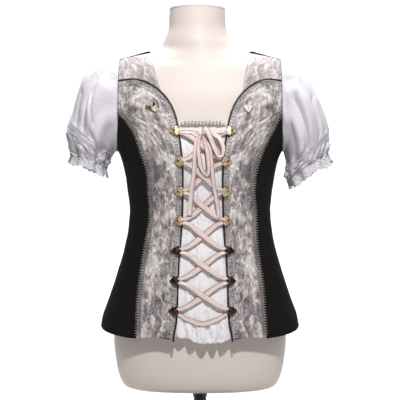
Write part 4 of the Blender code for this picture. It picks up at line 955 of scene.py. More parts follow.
# %% [markdown]
# ## Threads laid on the cloth
#
# Piping, gimp and looped lace are threads of one thickness that follow a seam. Each is swept as a tube: the cloth's
# own normal stands up from the tube at every point, so the tube never twists. Loops come from a trochoid, the line
# that a point on a rolling wheel draws.


# %% Swept threads
def thread_mesh(name, threads, sides=6):
    """One mesh of round threads. Each thread is its points with the cloth's normals there, and its radius."""
    spots, faces = [], []
    for (points, normals), radius in threads:
        start = sum(len(s) for s in spots)
        along_it = unit(np.gradient(points, axis=0))
        beside = unit(np.cross(along_it, normals))
        above = np.cross(beside, along_it)
        sweep = full_turn(sides)
        ring = np.cos(sweep)[None, :, None] * beside[:, None] + np.sin(sweep)[None, :, None] * above[:, None]
        spots.append((points[:, None] + radius * ring).reshape(-1, 3))
        for k in range(len(points) - 1):
            for j in range(sides):
                a, b = start + k * sides + j, start + k * sides + (j + 1) % sides
                faces.append((a, b, b + sides, a + sides))
        faces.append(tuple(start + j for j in range(sides))[::-1])
        faces.append(tuple(start + (len(points) - 1) * sides + j for j in range(sides)))
    mesh = bpy.data.meshes.new(name)
    mesh.from_pydata(np.concatenate(spots).tolist(), [], [face[::-1] for face in faces])
    mesh.shade_smooth()
    return mesh


def laid(line, side, lift):
    """Points and normals of a line of angles and heights, lifted off the creased cloth."""
    angle, z = line[:, 0] * side, line[:, 1]
    points = cloth_point(angle, z, np.full(len(line), 0.0) + lift)
    return points, flat_cloth(angle, z, np.ones(len(line))) - flat_cloth(angle, z, np.zeros(len(line)))


def trochoid(line_at, length, pitch, low, high, roll, phase=0.0):
    """A looping line beside a seam: it rolls along and swings between two distances from the seam."""
    steps = int(length / pitch * 14)
    near, far = along(line_at(low), steps), along(line_at(high), steps)
    wheel = np.linspace(0.0, 2 * math.pi * round(length / pitch), steps) + phase
    at = np.clip(np.arange(steps) - roll * np.sin(wheel) / (length / steps), 0, steps - 1)
    swing = (1 - np.cos(wheel)) / 2 * (0.86 + 0.14 * np.sin(0.31 * wheel + 2 * np.sin(0.053 * wheel) + phase))
    loops = [
        np.interp(at, np.arange(steps), near[:, k]) * (1 - swing) + np.interp(at, np.arange(steps), far[:, k]) * swing
        for k in range(2)
    ]
    return np.stack(loops, axis=1), wheel


# %% Piping
PIPING_LIFT = 0.0009
for word, side in SIDES:
    name = f"piping_{word}"
    points, normals = laid(along(front_edge(0.0, side), 260), side, PIPING_LIFT)
    show(name, thread_mesh(name, [((points, normals), PIPING_RADIUS)], 12), covered_cord)
print("piping", round(length_of(points), 3), "m")

# %% [markdown]
# ## Lace bands and gimp
#
# Inside the piping lies a net lace, ten millimetres wide: a straight cord along the piping and two rows of loops
# that cross beside it, so the fronts show through. Over the side seams lies a silver gimp of heavier threads, with
# a row of picot loops on the black side. Both are only threads, and their tables say how each one rolls.

# %% Lace bands
ON_CLOTH = 0.0009
BAND_INSET, BAND_CORD, BAND_CORD_RADIUS = 0.0006, 0.0006, 0.0005
BAND_THREADS = (
    # loop pitch, low and high distance from the band's inner edge, roll, thread radius, phase
    (0.0064, 0.0006, 0.006, 0.0017, 0.00048, 0.0), (0.0064, 0.0048, 0.0104, 0.0017, 0.00048, 2.9)
)
for word, side in SIDES:
    band_at = lambda aside: front_edge(EDGE_TO_PIPING + BAND_INSET + aside, side)
    length = length_of(flat_cloth(*along(band_at(0.005), 300).T))
    spun = [(laid(along(band_at(BAND_CORD), 300), side, ON_CLOTH + 0.0006), BAND_CORD_RADIUS)]
    for layer, (pitch, low, high, roll, radius, phase) in enumerate(BAND_THREADS):
        loops, wheel = trochoid(band_at, length - 0.004, pitch, low, high, roll, phase)
        loops[:, 1] = np.maximum(loops[:, 1], hem_height(loops[:, 0]) + 0.0006)
        wave = 0.0002 * np.sin(wheel * 0.5)
        spun.append((laid(loops, side, ON_CLOTH + 0.0004 + 0.0003 * layer + wave), radius))
    name = f"lace_band_{word}"
    mesh = thread_mesh(name, spun)
    show(name, mesh, grey_lace)
print("lace band", round(length, 3), "m,", len(mesh.polygons), "faces")

# %% Gimp with picot loops
GIMP_LENGTH = 0.475
GIMP_THREADS = (
    # loop pitch, low and high distance from the seam, roll, thread radius, phase
    (0.0052, -0.0021, 0.0036, 0.0015, 0.00072, 0.0), (0.0062, 0.0028, 0.0088, 0.0017, 0.00075, 2.8)
)
for word, side in SIDES:
    line_at = lambda aside: seen_line(SIDE_FRONT_SEAM[word], 480, -aside)
    spun = []
    for layer, (pitch, low, high, roll, radius, phase) in enumerate(GIMP_THREADS):
        loops, wheel = trochoid(line_at, GIMP_LENGTH, pitch, low, high, roll, phase)
        wave = 0.00035 * np.sin(wheel * 0.5) + 0.0003 * np.sin(wheel * 0.173)
        spun.append((laid(loops, side, ON_CLOTH + 0.001 + 0.0002 * layer + wave), radius))
    name = f"gimp_{word}"
    mesh = thread_mesh(name, spun)
    show(name, mesh, silver_gimp)
print("gimp", len(mesh.polygons), "faces")

# %% Insert's looped lace
INSERT_LACE_THREADS = (
    # loops, height of the lowest and the highest point, roll, thread radius, phase
    (13, 0.003, 0.0112, 0.003, 0.0007, 0.0), (26, 0.0004, 0.0046, 0.0012, 0.0006, 2.8)
)
low = INSERT_TOP_Z + SEAM_GAP
reach = float(insert_half_width(np.array(INSERT_TOP_Z))) - 0.0095
spun = []
for loops, least, most, roll, radius, phase in INSERT_LACE_THREADS:
    wheel = np.linspace(0.0, 2 * math.pi * loops, loops * 18) + phase
    share = np.linspace(-1.0, 1.0, len(wheel))
    x = float(centre_x(low)) + (reach - 0.002) * share + roll * np.sin(wheel)
    # The lace stands in two groups of loops, with a low stretch between them and at each end.
    group = 0.5 + 0.5 * smooth_steps(3.2 * np.abs(np.sin((share + 0.08) * math.pi))) * smooth_steps(
        (0.97 - np.abs(share)) / 0.18
    )
    z = low + least + (most - least) * group * (1 - np.cos(wheel)) / 2 + 0.0004 * np.sin(wheel * 0.37)
    line = np.stack([angle_at(x, z), z], axis=-1)
    spun.append((laid(line, 1, -INSERT_DEPTH + 0.0004 * np.sin(wheel * 0.5)), radius))
for height in (0.0004, 0.002):
    x = float(centre_x(low)) + reach * np.linspace(-1.0, 1.0, 80)
    z = np.full(80, low + height)
    spun.append((laid(np.stack([angle_at(x, z), z], axis=-1), 1, -INSERT_DEPTH), 0.00055))
mesh = thread_mesh("insert_lace", spun)
show("insert_lace", mesh, silver_gimp)
print("insert lace", len(mesh.polygons), "faces")

# %% [markdown]
# ## Puff sleeves
#
# Each sleeve is a tube of rings from the armhole to its lace edge. The first ring is the armhole itself and the
# others are tilted ovals, measured from the front. The fullness is gathered into the armhole and into the openwork
# band above the cuff, so the waves are deep near both seams and soft between them. The long folds that the
# photograph shows are rows in a table, and the two sleeves have different ones, because they hang differently.

# %% Sleeve rings
SLEEVE_WALL = 0.0012
SLEEVE_RINGS = {
    "left": (
        # station, outer_x, outer_z, inner_x, inner_z, half_depth
        (1, 0.196, 0.802, 0.169, 0.637, 0.068), (2, 0.218, 0.776, 0.171, 0.628, 0.076),
        (3, 0.237, 0.738, 0.173, 0.62, 0.08), (4, 0.25, 0.7, 0.173, 0.612, 0.077),
        (5, 0.255, 0.676, 0.172, 0.607, 0.07), (5.5, 0.2555, 0.664, 0.172, 0.6, 0.068),
        (6.3, 0.255, 0.648, 0.173, 0.591, 0.062), (7, 0.253, 0.637, 0.176, 0.584, 0.056),
        (8, 0.264, 0.611, 0.182, 0.561, 0.064)
    ),
    "right": (
        # station, outer_x, outer_z, inner_x, inner_z, half_depth
        (1, 0.204, 0.812, 0.169, 0.642, 0.068), (2, 0.231, 0.784, 0.172, 0.637, 0.076),
        (3, 0.245, 0.745, 0.174, 0.634, 0.079), (4, 0.252, 0.715, 0.176, 0.632, 0.075),
        (5, 0.26, 0.695, 0.1785, 0.63, 0.07), (5.5, 0.264, 0.679, 0.18, 0.623, 0.069),
        (6.3, 0.26, 0.656, 0.183, 0.614, 0.063), (7, 0.255, 0.636, 0.188, 0.606, 0.056),
        (8, 0.261, 0.612, 0.185, 0.584, 0.063)
    )
}
SLEEVE_WAVES = 10
SLEEVE_GATHERS = (
    # station, wave depth
    (0, 0), (0.4, 0.0036), (1.5, 0.0036), (3, 0.0026), (4.2, 0.0036), (5, 0.0028), (5.5, 0.0024), (6.3, 0.0034),
    (7, 0.003), (8, 0.0048)
)
ARMHOLE_STEP = 0.0016
ARMPIT_CLEARANCE = 0.0016


def armhole_loop(count):
    """The whole armhole, from the shoulder down the front, under the arm and up the back."""
    front = armhole_line(ARMPIT_Z, SHOULDER_Z, 90)[::-1]
    back = armhole_line(ARMPIT_Z, SHOULDER_Z, 90, back=True)
    top = np.array([[math.pi / 2, SHOULDER_Z + 0.0008]])
    low = np.array([[math.pi / 2, ARMPIT_Z - 0.0015]])
    whole = np.vstack([top, front[1:], low, back[:-1], top])
    loop = flat_cloth(*along(whole, count + 1)[:-1].T)
    loop[:, 0] = armhole_x(loop[:, 2]) + 2 * SEAM_GAP
    loop[:, 0] += ARMPIT_CLEARANCE * smooth_steps((ARMPIT_Z + 0.01 - loop[:, 2]) / 0.008)
    return loop


SLEEVE_FOLDS = {
    "left": (
        # start turn, start station, end turn, end station, half width in degrees, depth
        (74, 0.4, 107, 5.4, 5, -0.0092), (60, 0.5, 92, 4.2, 9, 0.0048), (98, 0.3, 128, 4.9, 8, 0.0036),
        (112, 0.6, 142, 4.9, 5, -0.0052), (46, 2.2, 62, 4.9, 5, -0.005), (28, 2.8, 40, 4.9, 4, -0.0042),
        (22, 0.4, 40, 2.8, 6, -0.0034), (-40, 0.4, -70, 3.6, 9, -0.0062), (-85, 0.6, -100, 4.8, 8, -0.005),
        (-20, 2.2, -30, 4.9, 7, -0.0038)
    ),
    "right": (
        # start turn, start station, end turn, end station, half width in degrees, depth
        (30, 0.3, 92, 2.8, 5, -0.0084), (42, 0.3, 104, 4.2, 8, 0.0052), (58, 1.2, 76, 4.9, 4.5, -0.0078),
        (38, 2.2, 50, 4.9, 4.5, -0.0054), (90, 2.4, 102, 4.9, 4.5, -0.005), (112, 0.4, 124, 4.9, 8, 0.0044),
        (134, 1.4, 142, 4.9, 4.5, -0.0058), (20, 1.6, 28, 4.9, 4, -0.0044), (-36, 0.4, -64, 3.2, 9, -0.006),
        (-80, 0.6, -104, 4.8, 8, -0.005), (-16, 2.4, -34, 4.9, 7, -0.004)
    )
}


def sleeve_folds(word, turn, station):
    """How far the long folds of a sleeve move its ring out."""
    degrees = np.degrees((turn + math.pi) % (2 * math.pi) - math.pi)
    moved = np.zeros(len(turn))
    for start, first, end, last, half_width, depth in SLEEVE_FOLDS[word]:
        share = (station - first) / (last - first)
        fade = float(smooth_steps(share / 0.12) * smooth_steps((1 - share) / 0.2))
        centre = start + (end - start) * np.clip(share, 0, 1)
        moved += depth * fade * np.exp(-0.5 * ((degrees - centre) / half_width) ** 2)
    return moved


def crumple(word, turn, station):
    """Short crossed creases of the crushed cuff, and the fine gathers that run out of each seam."""
    seed = 0.0 if word == "left" else 2.4
    s = station
    cuff = float(smooth_steps((s - 5.3) / 0.5) * smooth_steps((7.6 - s) / 0.7))
    short = (
        np.sin(turn * 9 + 3.1 * s + 1.2 * np.sin(turn * 4 + s * 2 + seed))
        + np.sin(turn * 17 - 4.3 * s + 1.5 * np.sin(turn * 5 - s * 3 + seed))
        + 0.8 * np.abs(np.sin(turn * 6.5 + 6.1 * s + seed)) * np.sin(turn * 13 + seed)
    )
    seams = 0.35 * math.exp(-((s - 0.3) / 0.25) ** 2) + 0.9 * math.exp(-((s - 5.0) / 0.5) ** 2) * (s < 5.01)
    seams += 0.7 * math.exp(-((s - 5.6) / 0.3) ** 2) * (s > 5.4)
    gather = np.cos(turn * 41 + 2.0 * np.sin(turn * 3 + seed)) + 0.6 * np.cos(
        turn * 29 + 2.6 * np.sin(turn * 2 - seed)
    )
    slanted = -np.abs(np.sin(turn * 7.5 - 2.6 * s + 1.4 * np.sin(turn * 3 + 1.5 * s + seed)))
    return cuff * (0.0015 * short + 0.0034 * (slanted + 0.6)) + 0.0007 * seams * gather


def sleeve_ring(word, station, turn, loop):
    """One ring of the sleeve: near the body it is the armhole, further out an oval, with gathers and folds."""
    row = eased(SLEEVE_RINGS[word], max(station, 1.0))
    outer, inner, depth = np.array([row[0], 0.0, row[1]]), np.array([row[2], 0.0, row[3]]), row[4]
    middle, across = (outer + inner) / 2, (outer - inner) / 2
    oval = middle + across * np.cos(turn)[:, None] + np.array([0.0, -depth, 0.0]) * np.sin(turn)[:, None]
    outward = unit(oval - middle)
    share = float(smooth_steps(min(station, 1.0)))
    ring = loop * (1 - share) + oval * share
    under_arm = smooth_steps((-np.cos(turn) - 0.1) / 0.6) * float(smooth_steps((4.5 - station) / 1.5))
    quiet = 1 - 0.85 * under_arm
    wave = np.cos(SLEEVE_WAVES * turn + 0.5 * np.sin(2 * turn + station * 0.4)) * (0.75 + 0.25 * np.sin(3 * turn + 1))
    depth_of_wave = eased(SLEEVE_GATHERS, station)[0] * wave * quiet
    start = float(smooth_steps(station / 0.3))
    more = (sleeve_folds(word, turn, station) * quiet + crumple(word, turn, station) * quiet) * start
    return ring + outward * (depth_of_wave + more)[:, None]


SLEEVE_AROUND = 240
turn = full_turn(SLEEVE_AROUND)
loop = armhole_loop(SLEEVE_AROUND)
stepped = loop + np.array([ARMHOLE_STEP, 0.0, 0.0])
print("armhole", round(float(np.linalg.norm(loop - np.roll(loop, 1, axis=0), axis=1).sum()), 3), "m round")


# %% Puffs, openwork, cuffs and lace edges
def sleeve_piece(name, word, side, first, last, rings, material, slot, edge=None, keep=None):
    """One piece of a sleeve's tube, between two stations."""
    stations = np.linspace(first, last, rings)
    points = np.stack([sleeve_ring(word, float(station), turn, stepped) for station in stations])
    if first == 0.0:
        points[0] = loop
    if edge is not None:
        points = edge(points)
    points[..., 0] *= side
    outward = grid_normals(points, closed=True) * (-side)
    mesh = sheet_mesh(name, points, points - SLEEVE_WALL * outward, closed=True, turned=side > 0, keep=keep)
    show(name, mesh, material)


LACE_ROWS = 26
LADDER_ROWS = 9
ladder = np.zeros((LADDER_ROWS - 1, SLEEVE_AROUND), bool)
ladder[:2], ladder[-2:] = True, True
ladder[:, ::3] = True
eyelets = np.ones((LACE_ROWS - 1, SLEEVE_AROUND), bool)
row, column = np.mgrid[0 : LACE_ROWS - 1, 0:SLEEVE_AROUND]
eyelets[(row > 3) & (row < 20) & ((column + 3 * (row // 4)) % 6 < 2) & (row % 4 < 2)] = False


def scalloped(points):
    """Cut the free edge in scallops on longer waves, by drawing its last rows back between them."""
    share = np.linspace(0.0, 1.0, len(points))[:, None, None]
    draw = 0.16 * np.abs(np.sin(turn * 11)) ** 0.6 + 0.13 * (1 + np.sin(turn * 5 + 1.1 * np.sin(turn * 2))) - 0.06
    return points + (points[:1] - points) * draw[None, :, None] * share**2


SLEEVE_PIECES = (
    # name, first and last station, rings, material, slot, the free edge's cut, the cells that are kept
    ("puff", 0.0, 4.97, 96, dotted_batiste, "white_cotton", None, None),
    ("insertion", 5.03, 5.47, LADDER_ROWS, white_lace, "white_lace", None, ladder),
    ("cuff", 5.53, 6.97, 48, dotted_batiste, "white_cotton", None, None),
    ("lace", 7.03, 7.97, LACE_ROWS, white_lace, "white_lace", scalloped, eyelets)
)
for word, side in SIDES:
    for part, *how in SLEEVE_PIECES:
        sleeve_piece(f"sleeve_{part}_{word}", word, side, *how)

# %% [markdown]
# ## Lacing hooks
#
# Fourteen small cast brass plates carry the ribbon. Each has a pointed outer end with a rivet hole, two scroll
# lobes, and an inner end that is bent up so that the ribbon passes under it. The plate's outline is drawn as a
# distance from the rivet hole in each direction, so the whole plate is rings between the hole and the outline.
# The upper four rows are pale brass and the lower three are darkened.

# %% Hook plates
HOOK_ROWS, HOOK_TOP_Z, HOOK_LOW_Z = 7, 0.6722, 0.3315
HOOK_LENGTH, HOOK_WALL, HOOK_OVERHANG = 0.02, 0.0012, 0.003
HOOK_INNER_LIFT, HOOK_OUTER_LIFT = 0.0047, 0.001
RIVET_OUT, RIVET_RADIUS = 0.0089, 0.002
PLATE_OUTLINE = (
    # degrees from outwards, distance from the rivet
    (0, 0.0083), (10, 0.007), (24, 0.006), (45, 0.0056), (70, 0.006), (92, 0.0068), (108, 0.008), (122, 0.0102),
    (132, 0.0116), (142, 0.0114), (150, 0.0101), (157, 0.0098), (166, 0.0112), (180, 0.012)
)
LOBE_OUT, LOBE_UP, LOBE_SIZE = 0.0006, 0.0064, 0.0019
PLATE_AROUND, PLATE_RINGS = 72, 9


def hook_mesh(side):
    """A hook's plate, lying flat with its inner edge bent up, for the left or the right front."""
    sweep = np.linspace(-math.pi, math.pi, PLATE_AROUND, endpoint=False)
    rim = eased(PLATE_OUTLINE, np.abs(np.degrees(sweep)))[:, 0]
    share = np.linspace(0.0, 1.0, PLATE_RINGS)[:, None]
    radius = RIVET_RADIUS + (rim - RIVET_RADIUS) * share
    out = RIVET_OUT + radius * np.cos(sweep)
    up = radius * np.sin(sweep)
    reach = (out + HOOK_OVERHANG) / HOOK_LENGTH
    lift = HOOK_INNER_LIFT + (HOOK_OUTER_LIFT - HOOK_INNER_LIFT) * smooth_steps(2.2 * (reach - 0.42))
    from_lobe = np.hypot(out - LOBE_OUT, np.abs(up) - LOBE_UP) / LOBE_SIZE
    relief = 0.0005 * (1 - share**4) + 0.0004 * np.exp(-(((share - 0.1) / 0.1) ** 2))
    relief = relief + 0.0008 * np.exp(-(from_lobe**2)) - 0.0004 * np.exp(-(((from_lobe - 1.5) / 0.35) ** 2))
    outside = np.stack([side * out, up, lift + HOOK_WALL + relief], axis=-1)
    inside = np.stack([side * out, up, lift], axis=-1)
    return sheet_mesh("hook_plate", outside, inside, closed=True, turned=side > 0)


def surface_frame(x, z):
    """Axes on the cloth at a spot seen from the front: across to +X, upwards and out of the cloth."""
    angle = angle_at(np.array(x), np.array(z))
    spot = flat_cloth(angle, np.array(z))
    normal = Vector(flat_cloth(angle, np.array(z), np.array(1.0)) - spot).normalized()
    up = Vector((0, 0, 1))
    up = (up - up.dot(normal) * normal).normalized()
    turned = Matrix((up.cross(normal), up, normal)).transposed().to_4x4()
    return Matrix.Translation(Vector(spot)) @ turned


HOOK_HEIGHTS = np.linspace(HOOK_LOW_Z, HOOK_TOP_Z, HOOK_ROWS)
BRIGHT_ROWS = 4
rivets = []
for word, side in SIDES:
    plate = hook_mesh(side)
    for row, z in enumerate(HOOK_HEIGHTS[::-1], start=1):
        place = surface_frame(edge_x(z, side), float(z))
        mesh = plate.copy()
        mesh.transform(place)
        show(f"hook_{word}_{row}", mesh, pale_brass if row <= BRIGHT_ROWS else dark_bronze)
        rivets.append(place @ Vector((side * RIVET_OUT, 0.0, HOOK_OUTER_LIFT)))

# The rivets' heads sit low in their holes, and their near-black is painted shade, so each hole reads as a dark dot.
sweep = full_turn(20)
RIVET_DOME = ((0.00185, 0.0), (0.0018, 0.0004), (0.0012, 0.0007), (0.0001, 0.0008))
dome = np.stack([np.column_stack([r * np.cos(sweep), np.full(20, -h), r * np.sin(sweep)]) for r, h in RIVET_DOME])
for number, spot in enumerate(rivets, start=1):
    head = dome + np.array(spot)
    mesh = sheet_mesh("hook_rivet", head, head + [0, 0.0004, 0], closed=True, turned=True)
    show(f"hook_rivet_{number}", mesh, rivet_steel_painted_shade, [])
print("hook", len(plate.polygons), "faces each,", len(rivets), "rivets")

# %% [markdown]
# ## Ribbon
#
# One long satin ribbon zigzags through the hooks and is tied at the top in a slack bow. Where a hook pinches it, it
# folds into small pleats lengthwise, and between hooks it opens to its full width and its edges curl a little. Each
# stretch follows rows of place, lift off the cloth and width.

# %% Ribbon stretches
RIBBON_WALL = 0.0008
APEX_OUT, APEX_LIFT, APEX_SPREAD, APEX_IN = 0.003, 0.0042, 0.0042, 0.0065
LEG_LIFT, CROSS_LOW, CROSS_HIGH = 0.0037, 0.0022, 0.004
RIBBON_ACROSS = 13
RIBBON_STEP = 0.0016


def strand_route(first_side):
    """One half of the lacing, zigzagging from the lowest hook to the top one."""
    route = []
    side = first_side
    for row, z in enumerate(HOOK_HEIGHTS):
        x = edge_x(z, side)
        bend = (
            # x, z, lift, width
            (x - side * APEX_IN, z - APEX_SPREAD, LEG_LIFT, 0.0074),
            (x + side * 0.4 * APEX_OUT, z - 0.72 * APEX_SPREAD, APEX_LIFT, 0.005),
            (x + side * APEX_OUT, z, APEX_LIFT, 0.004),
            (x + side * 0.4 * APEX_OUT, z + 0.72 * APEX_SPREAD, APEX_LIFT, 0.005),
            (x - side * APEX_IN, z + APEX_SPREAD, LEG_LIFT, 0.0074)
        )
        if row == 0:
            bend = bend[2:]
        if row == HOOK_ROWS - 1:
            route.extend(bend[:3])
            break
        route.extend(bend)
        over = (row % 2 == 0) == (first_side > 0)
        middle = (z + HOOK_HEIGHTS[row + 1]) / 2
        route.append((float(centre_x(middle)), middle, CROSS_HIGH if over else CROSS_LOW, RIBBON_WIDTH))
        side = -side
    return route


BOTTOM_LOOP = (
    # x, z, lift, width
    (-0.04, 0.326, 0.0018, 0.005), (-0.023, 0.3165, 0.0012, 0.0085), (0.006, 0.3085, 0.001, 0.0095),
    (0.033, 0.317, 0.0012, 0.0085), (0.05, 0.3262, 0.0018, 0.005)
)
TOP_RIGHT = (
    # x, z, lift, width
    (-0.035, 0.67, 0.005, 0.006), (-0.02, 0.6698, 0.0056, 0.0075), (-0.0047, 0.668, 0.0074, 0.0055)
)
TOP_LEFT = (
    # x, z, lift, width
    (0.0047, 0.668, 0.0074, 0.005), (0.025, 0.669, 0.0058, 0.008), (0.043, 0.6698, 0.005, 0.006)
)
LOOP_DOWN = (
    # x, z, lift, width
    (0.0002, 0.663, 0.008, 0.004), (-0.004, 0.643, 0.0088, 0.0078), (0.0006, 0.612, 0.009, 0.008),
    (0.0088, 0.5945, 0.0078, 0.0062), (0.0138, 0.59, 0.0068, 0.005), (0.0168, 0.601, 0.0062, 0.0066),
    (0.014, 0.633, 0.0058, 0.008), (0.005, 0.66, 0.0062, 0.004)
)
LOOP_SIDE = (
    # x, z, lift, width
    (0.0046, 0.6702, 0.0094, 0.004), (0.0098, 0.6772, 0.0114, 0.006), (0.0172, 0.6655, 0.0126, 0.0092),
    (0.029, 0.64, 0.0122, 0.0095), (0.0372, 0.625, 0.0108, 0.006), (0.0424, 0.6255, 0.01, 0.0055),
    (0.044, 0.637, 0.0094, 0.008), (0.0378, 0.656, 0.0086, 0.0095), (0.024, 0.667, 0.008, 0.007)
)
TAIL_RIGHT = (
    # x, z, lift, width
    (-0.0036, 0.664, 0.0098, 0.004), (-0.0096, 0.644, 0.0104, 0.007), (-0.0112, 0.617, 0.0098, 0.0075),
    (-0.0122, 0.59, 0.0082, 0.008), (-0.016, 0.56, 0.007, 0.009), (-0.0195, 0.5125, 0.0062, 0.01)
)
TAIL_LEFT = (
    # x, z, lift, width
    (0.0058, 0.662, 0.008, 0.004), (0.02, 0.638, 0.0076, 0.008), (0.0235, 0.613, 0.0078, 0.009),
    (0.0255, 0.582, 0.0078, 0.01), (0.0305, 0.548, 0.0068, 0.0105), (0.034, 0.526, 0.006, 0.0105),
    (0.0352, 0.507, 0.0058, 0.0095)
)


def ribbon(name, route, far_end, *more_nodes):
    """A flat ribbon over the cloth, pleated where it is narrow."""
    rows = np.array(route, float)
    chord = lengths_along(rows[:, :3])
    place = np.linspace(0.0, chord[-1], int(chord[-1] / RIBBON_STEP))
    line = eased(np.column_stack([chord, rows]), place)
    angle = angle_at(line[:, 0], line[:, 1])
    centre = flat_cloth(angle, line[:, 1], line[:, 2])
    normal = (flat_cloth(angle, line[:, 1], line[:, 2] + 0.001) - centre) / 0.001
    beside = unit(np.cross(np.gradient(centre, axis=0), normal))
    across = np.linspace(1.0, -1.0, RIBBON_ACROSS)[None, :]
    half = line[:, 3:4] / 2
    pinch = np.clip(1 - line[:, 3:4] / RIBBON_WIDTH, 0.0, 1.0)
    place = place[:, None]
    pleat = pinch * 0.0007 * np.cos(2.5 * math.pi * across + 0.8)
    curl = -0.0005 * across**2 * (1 - pinch) + 0.00022 * np.sin(place / 0.011 + 2.2 * across) * (1 - pinch)
    fold = pinch * (1 - pinch) * 0.0016 * np.sin(place / 0.0045 + 3 * across)
    height = pleat + curl + 0.35 * fold
    outside = centre[:, None] + beside[:, None] * (half * across)[..., None] + normal[:, None] * height[..., None]
    mesh = sheet_mesh(name, outside, outside - (normal * RIBBON_WALL * 0.6)[:, None], turned=True)
    uv = np.empty(2 * len(mesh.loops))
    mesh.uv_layers[0].data.foreach_get("uv", uv)
    uv[0::2] *= RIBBON_WIDTH / uv[0::2].max()
    mesh.uv_layers[0].data.foreach_set("uv", uv)
    piece = show(name, mesh, pink_satin, [name, *more_nodes])


TAIL_TURN = 0.7  # The left end hangs partly on edge, so less of its width shows.
ribbon("ribbon_strand_a", strand_route(1) + list(TOP_LEFT[::-1]), "object", "ribbon_top_left")
ribbon("ribbon_strand_b", strand_route(-1) + list(TOP_RIGHT), "object", "ribbon_top_right")
ribbon("ribbon_bottom_loop", BOTTOM_LOOP, "object")
ribbon("bow_loop_down", LOOP_DOWN, "object")
ribbon("bow_loop_side", LOOP_SIDE, "object")
ribbon("bow_tail_right", TAIL_RIGHT, "bare")
ribbon("bow_tail_left", [(x, z, lift, TAIL_TURN * width) for x, z, lift, width in TAIL_LEFT], "bare")

# %% Knot
KNOT_X, KNOT_Z, KNOT_LIFT = 0.0, 0.668, 0.0082
KNOT_SIZE = (0.0046, 0.005, 0.0024)
KNOT_AROUND, KNOT_RINGS = 32, 20
sweep = full_turn(KNOT_AROUND)[None, :]
fall = np.linspace(-0.5 * math.pi, 0.5 * math.pi, KNOT_RINGS)[:, None]
wrinkle = 1 + 0.1 * np.sin(3 * sweep + 4 * fall) * np.cos(fall) + 0.06 * np.sin(7 * sweep - 2 * fall)
knot = np.stack(
    [
        KNOT_SIZE[0] * np.cos(fall) * np.cos(sweep) * wrinkle, KNOT_SIZE[1] * np.sin(fall) * np.ones_like(sweep),
        KNOT_SIZE[2] * np.cos(fall) * np.sin(sweep) * wrinkle
    ],
    axis=-1
)
mesh = sheet_mesh("bow_knot", knot, knot * 0.8, closed=True, turned=True)
mesh.transform(surface_frame(KNOT_X, KNOT_Z) @ Matrix.Translation((0, 0, KNOT_LIFT)))
show("bow_knot", mesh, pink_satin)
print("knot", len(mesh.polygons), "faces")

# %% [markdown]
# ## Two pinned badges
#
# A small cast sprig is pinned over the right bust and an enamelled heart over the left one. Each is cut from plate,
# so a filled curve with a rounded edge is enough. The sprig is one casting with three patinas.

# %% Badges
SPRIG_BADGE = (
    # across, up: a forked twig with a leaf and a bud
    (0.0048, 0.0115), (0.0082, 0.0066), (0.0086, 0.0018), (0.0122, 0.002), (0.01, -0.0034), (0.012, -0.0112),
    (0.0084, -0.0106), (0.0018, -0.0074), (-0.001, -0.008), (-0.0036, -0.005), (-0.0062, -0.0024), (-0.0098, -0.0034),
    (-0.012, -0.0008), (-0.0092, 0.0004), (-0.0112, 0.0048), (-0.0064, 0.0022), (-0.0032, 0.0046), (0.0, 0.0006),
    (0.0024, -0.0014), (0.005, 0.0), (0.003, 0.0048)
)
LEAF = ((0.0048, 0.0115), (0.0082, 0.0066), (0.0084, 0.0022), (0.0052, 0.0008), (0.003, 0.0048))
BUD = (
    (0.0052, -0.0002), (0.0086, 0.0012), (0.0118, 0.0018), (0.01, -0.0034), (0.0118, -0.0108), (0.0084, -0.0104),
    (0.0026, -0.0074), (0.002, -0.0036)
)


def badge_plate(name, outline, x, z, lift, thick, material, slot, nodes=()):
    """A flat piece cut from plate, with a rounded edge, laid on the cloth at a spot seen from the front."""
    curve = bpy.data.curves.new(name, "CURVE")
    curve.dimensions = "2D"
    curve.fill_mode = "BOTH"
    curve.extrude = thick / 2
    curve.bevel_depth = thick * 0.3
    curve.bevel_resolution = 2
    curve.offset = -thick * 0.3
    line = curve.splines.new("POLY")
    line.points.add(len(outline) - 1)
    for point, (across, up) in zip(line.points, outline):
        point.co = (across, up, 0.0, 1.0)
    line.use_cyclic_u = True
    show(name, curve, material, nodes, surface_frame(x, z) @ Matrix.Translation((0, 0, lift)))


def rounded(outline):
    """The outline's corners eased into curves."""
    points = np.array(outline)
    for _ in range(3):
        after = np.roll(points, -1, axis=0)
        points = np.concatenate([[0.75 * a + 0.25 * b, 0.25 * a + 0.75 * b] for a, b in zip(points, after)])
    return points.tolist()


def heart_outline(turn):
    """A point of a plump heart, from a well-known sum of cosines."""
    height = 13 * math.cos(turn) - 5 * math.cos(2 * turn) - 2 * math.cos(3 * turn)
    return 0.009 * math.sin(turn) ** 3, 0.00066 * height


heart = [heart_outline(a) for a in full_turn(60)]
inner_heart = [(0.9 * a, 0.9 * b + 0.0002) for a, b in heart]
slit = rounded(((0.0004, 0.003), (0.0014, 0.003), (0.0018, -0.003), (0.0006, -0.0034)))
SPRIG_SPOT, HEART_SPOT = (-0.0935, 0.72), (0.0915, 0.717)
BADGES = (
    # name, outline, spot, lift, thickness, material, slot, nodes
    ("badge_sprig", rounded(SPRIG_BADGE), SPRIG_SPOT, 0.0016, 0.0014, pewter, "brass", ["badge_sprig"]),
    ("badge_leaf", rounded(LEAF), SPRIG_SPOT, 0.0024, 0.001, dark_bronze, "brass", []),
    ("badge_bud", rounded(BUD), SPRIG_SPOT, 0.0024, 0.0012, pale_brass, "brass", []),
    ("badge_heart_rim", heart, HEART_SPOT, 0.0014, 0.001, dark_bronze, "brass", ["badge_heart"]),
    ("badge_heart", inner_heart, HEART_SPOT, 0.002, 0.0012, cream_enamel, "cream_enamel", []),
    ("badge_heart_slit", slit, HEART_SPOT, 0.0026, 0.0006, dark_bronze, "brass", [])
)
for name, outline, spot, *how in BADGES:
    badge_plate(name, outline, *spot, *how)
print("badges", 2)

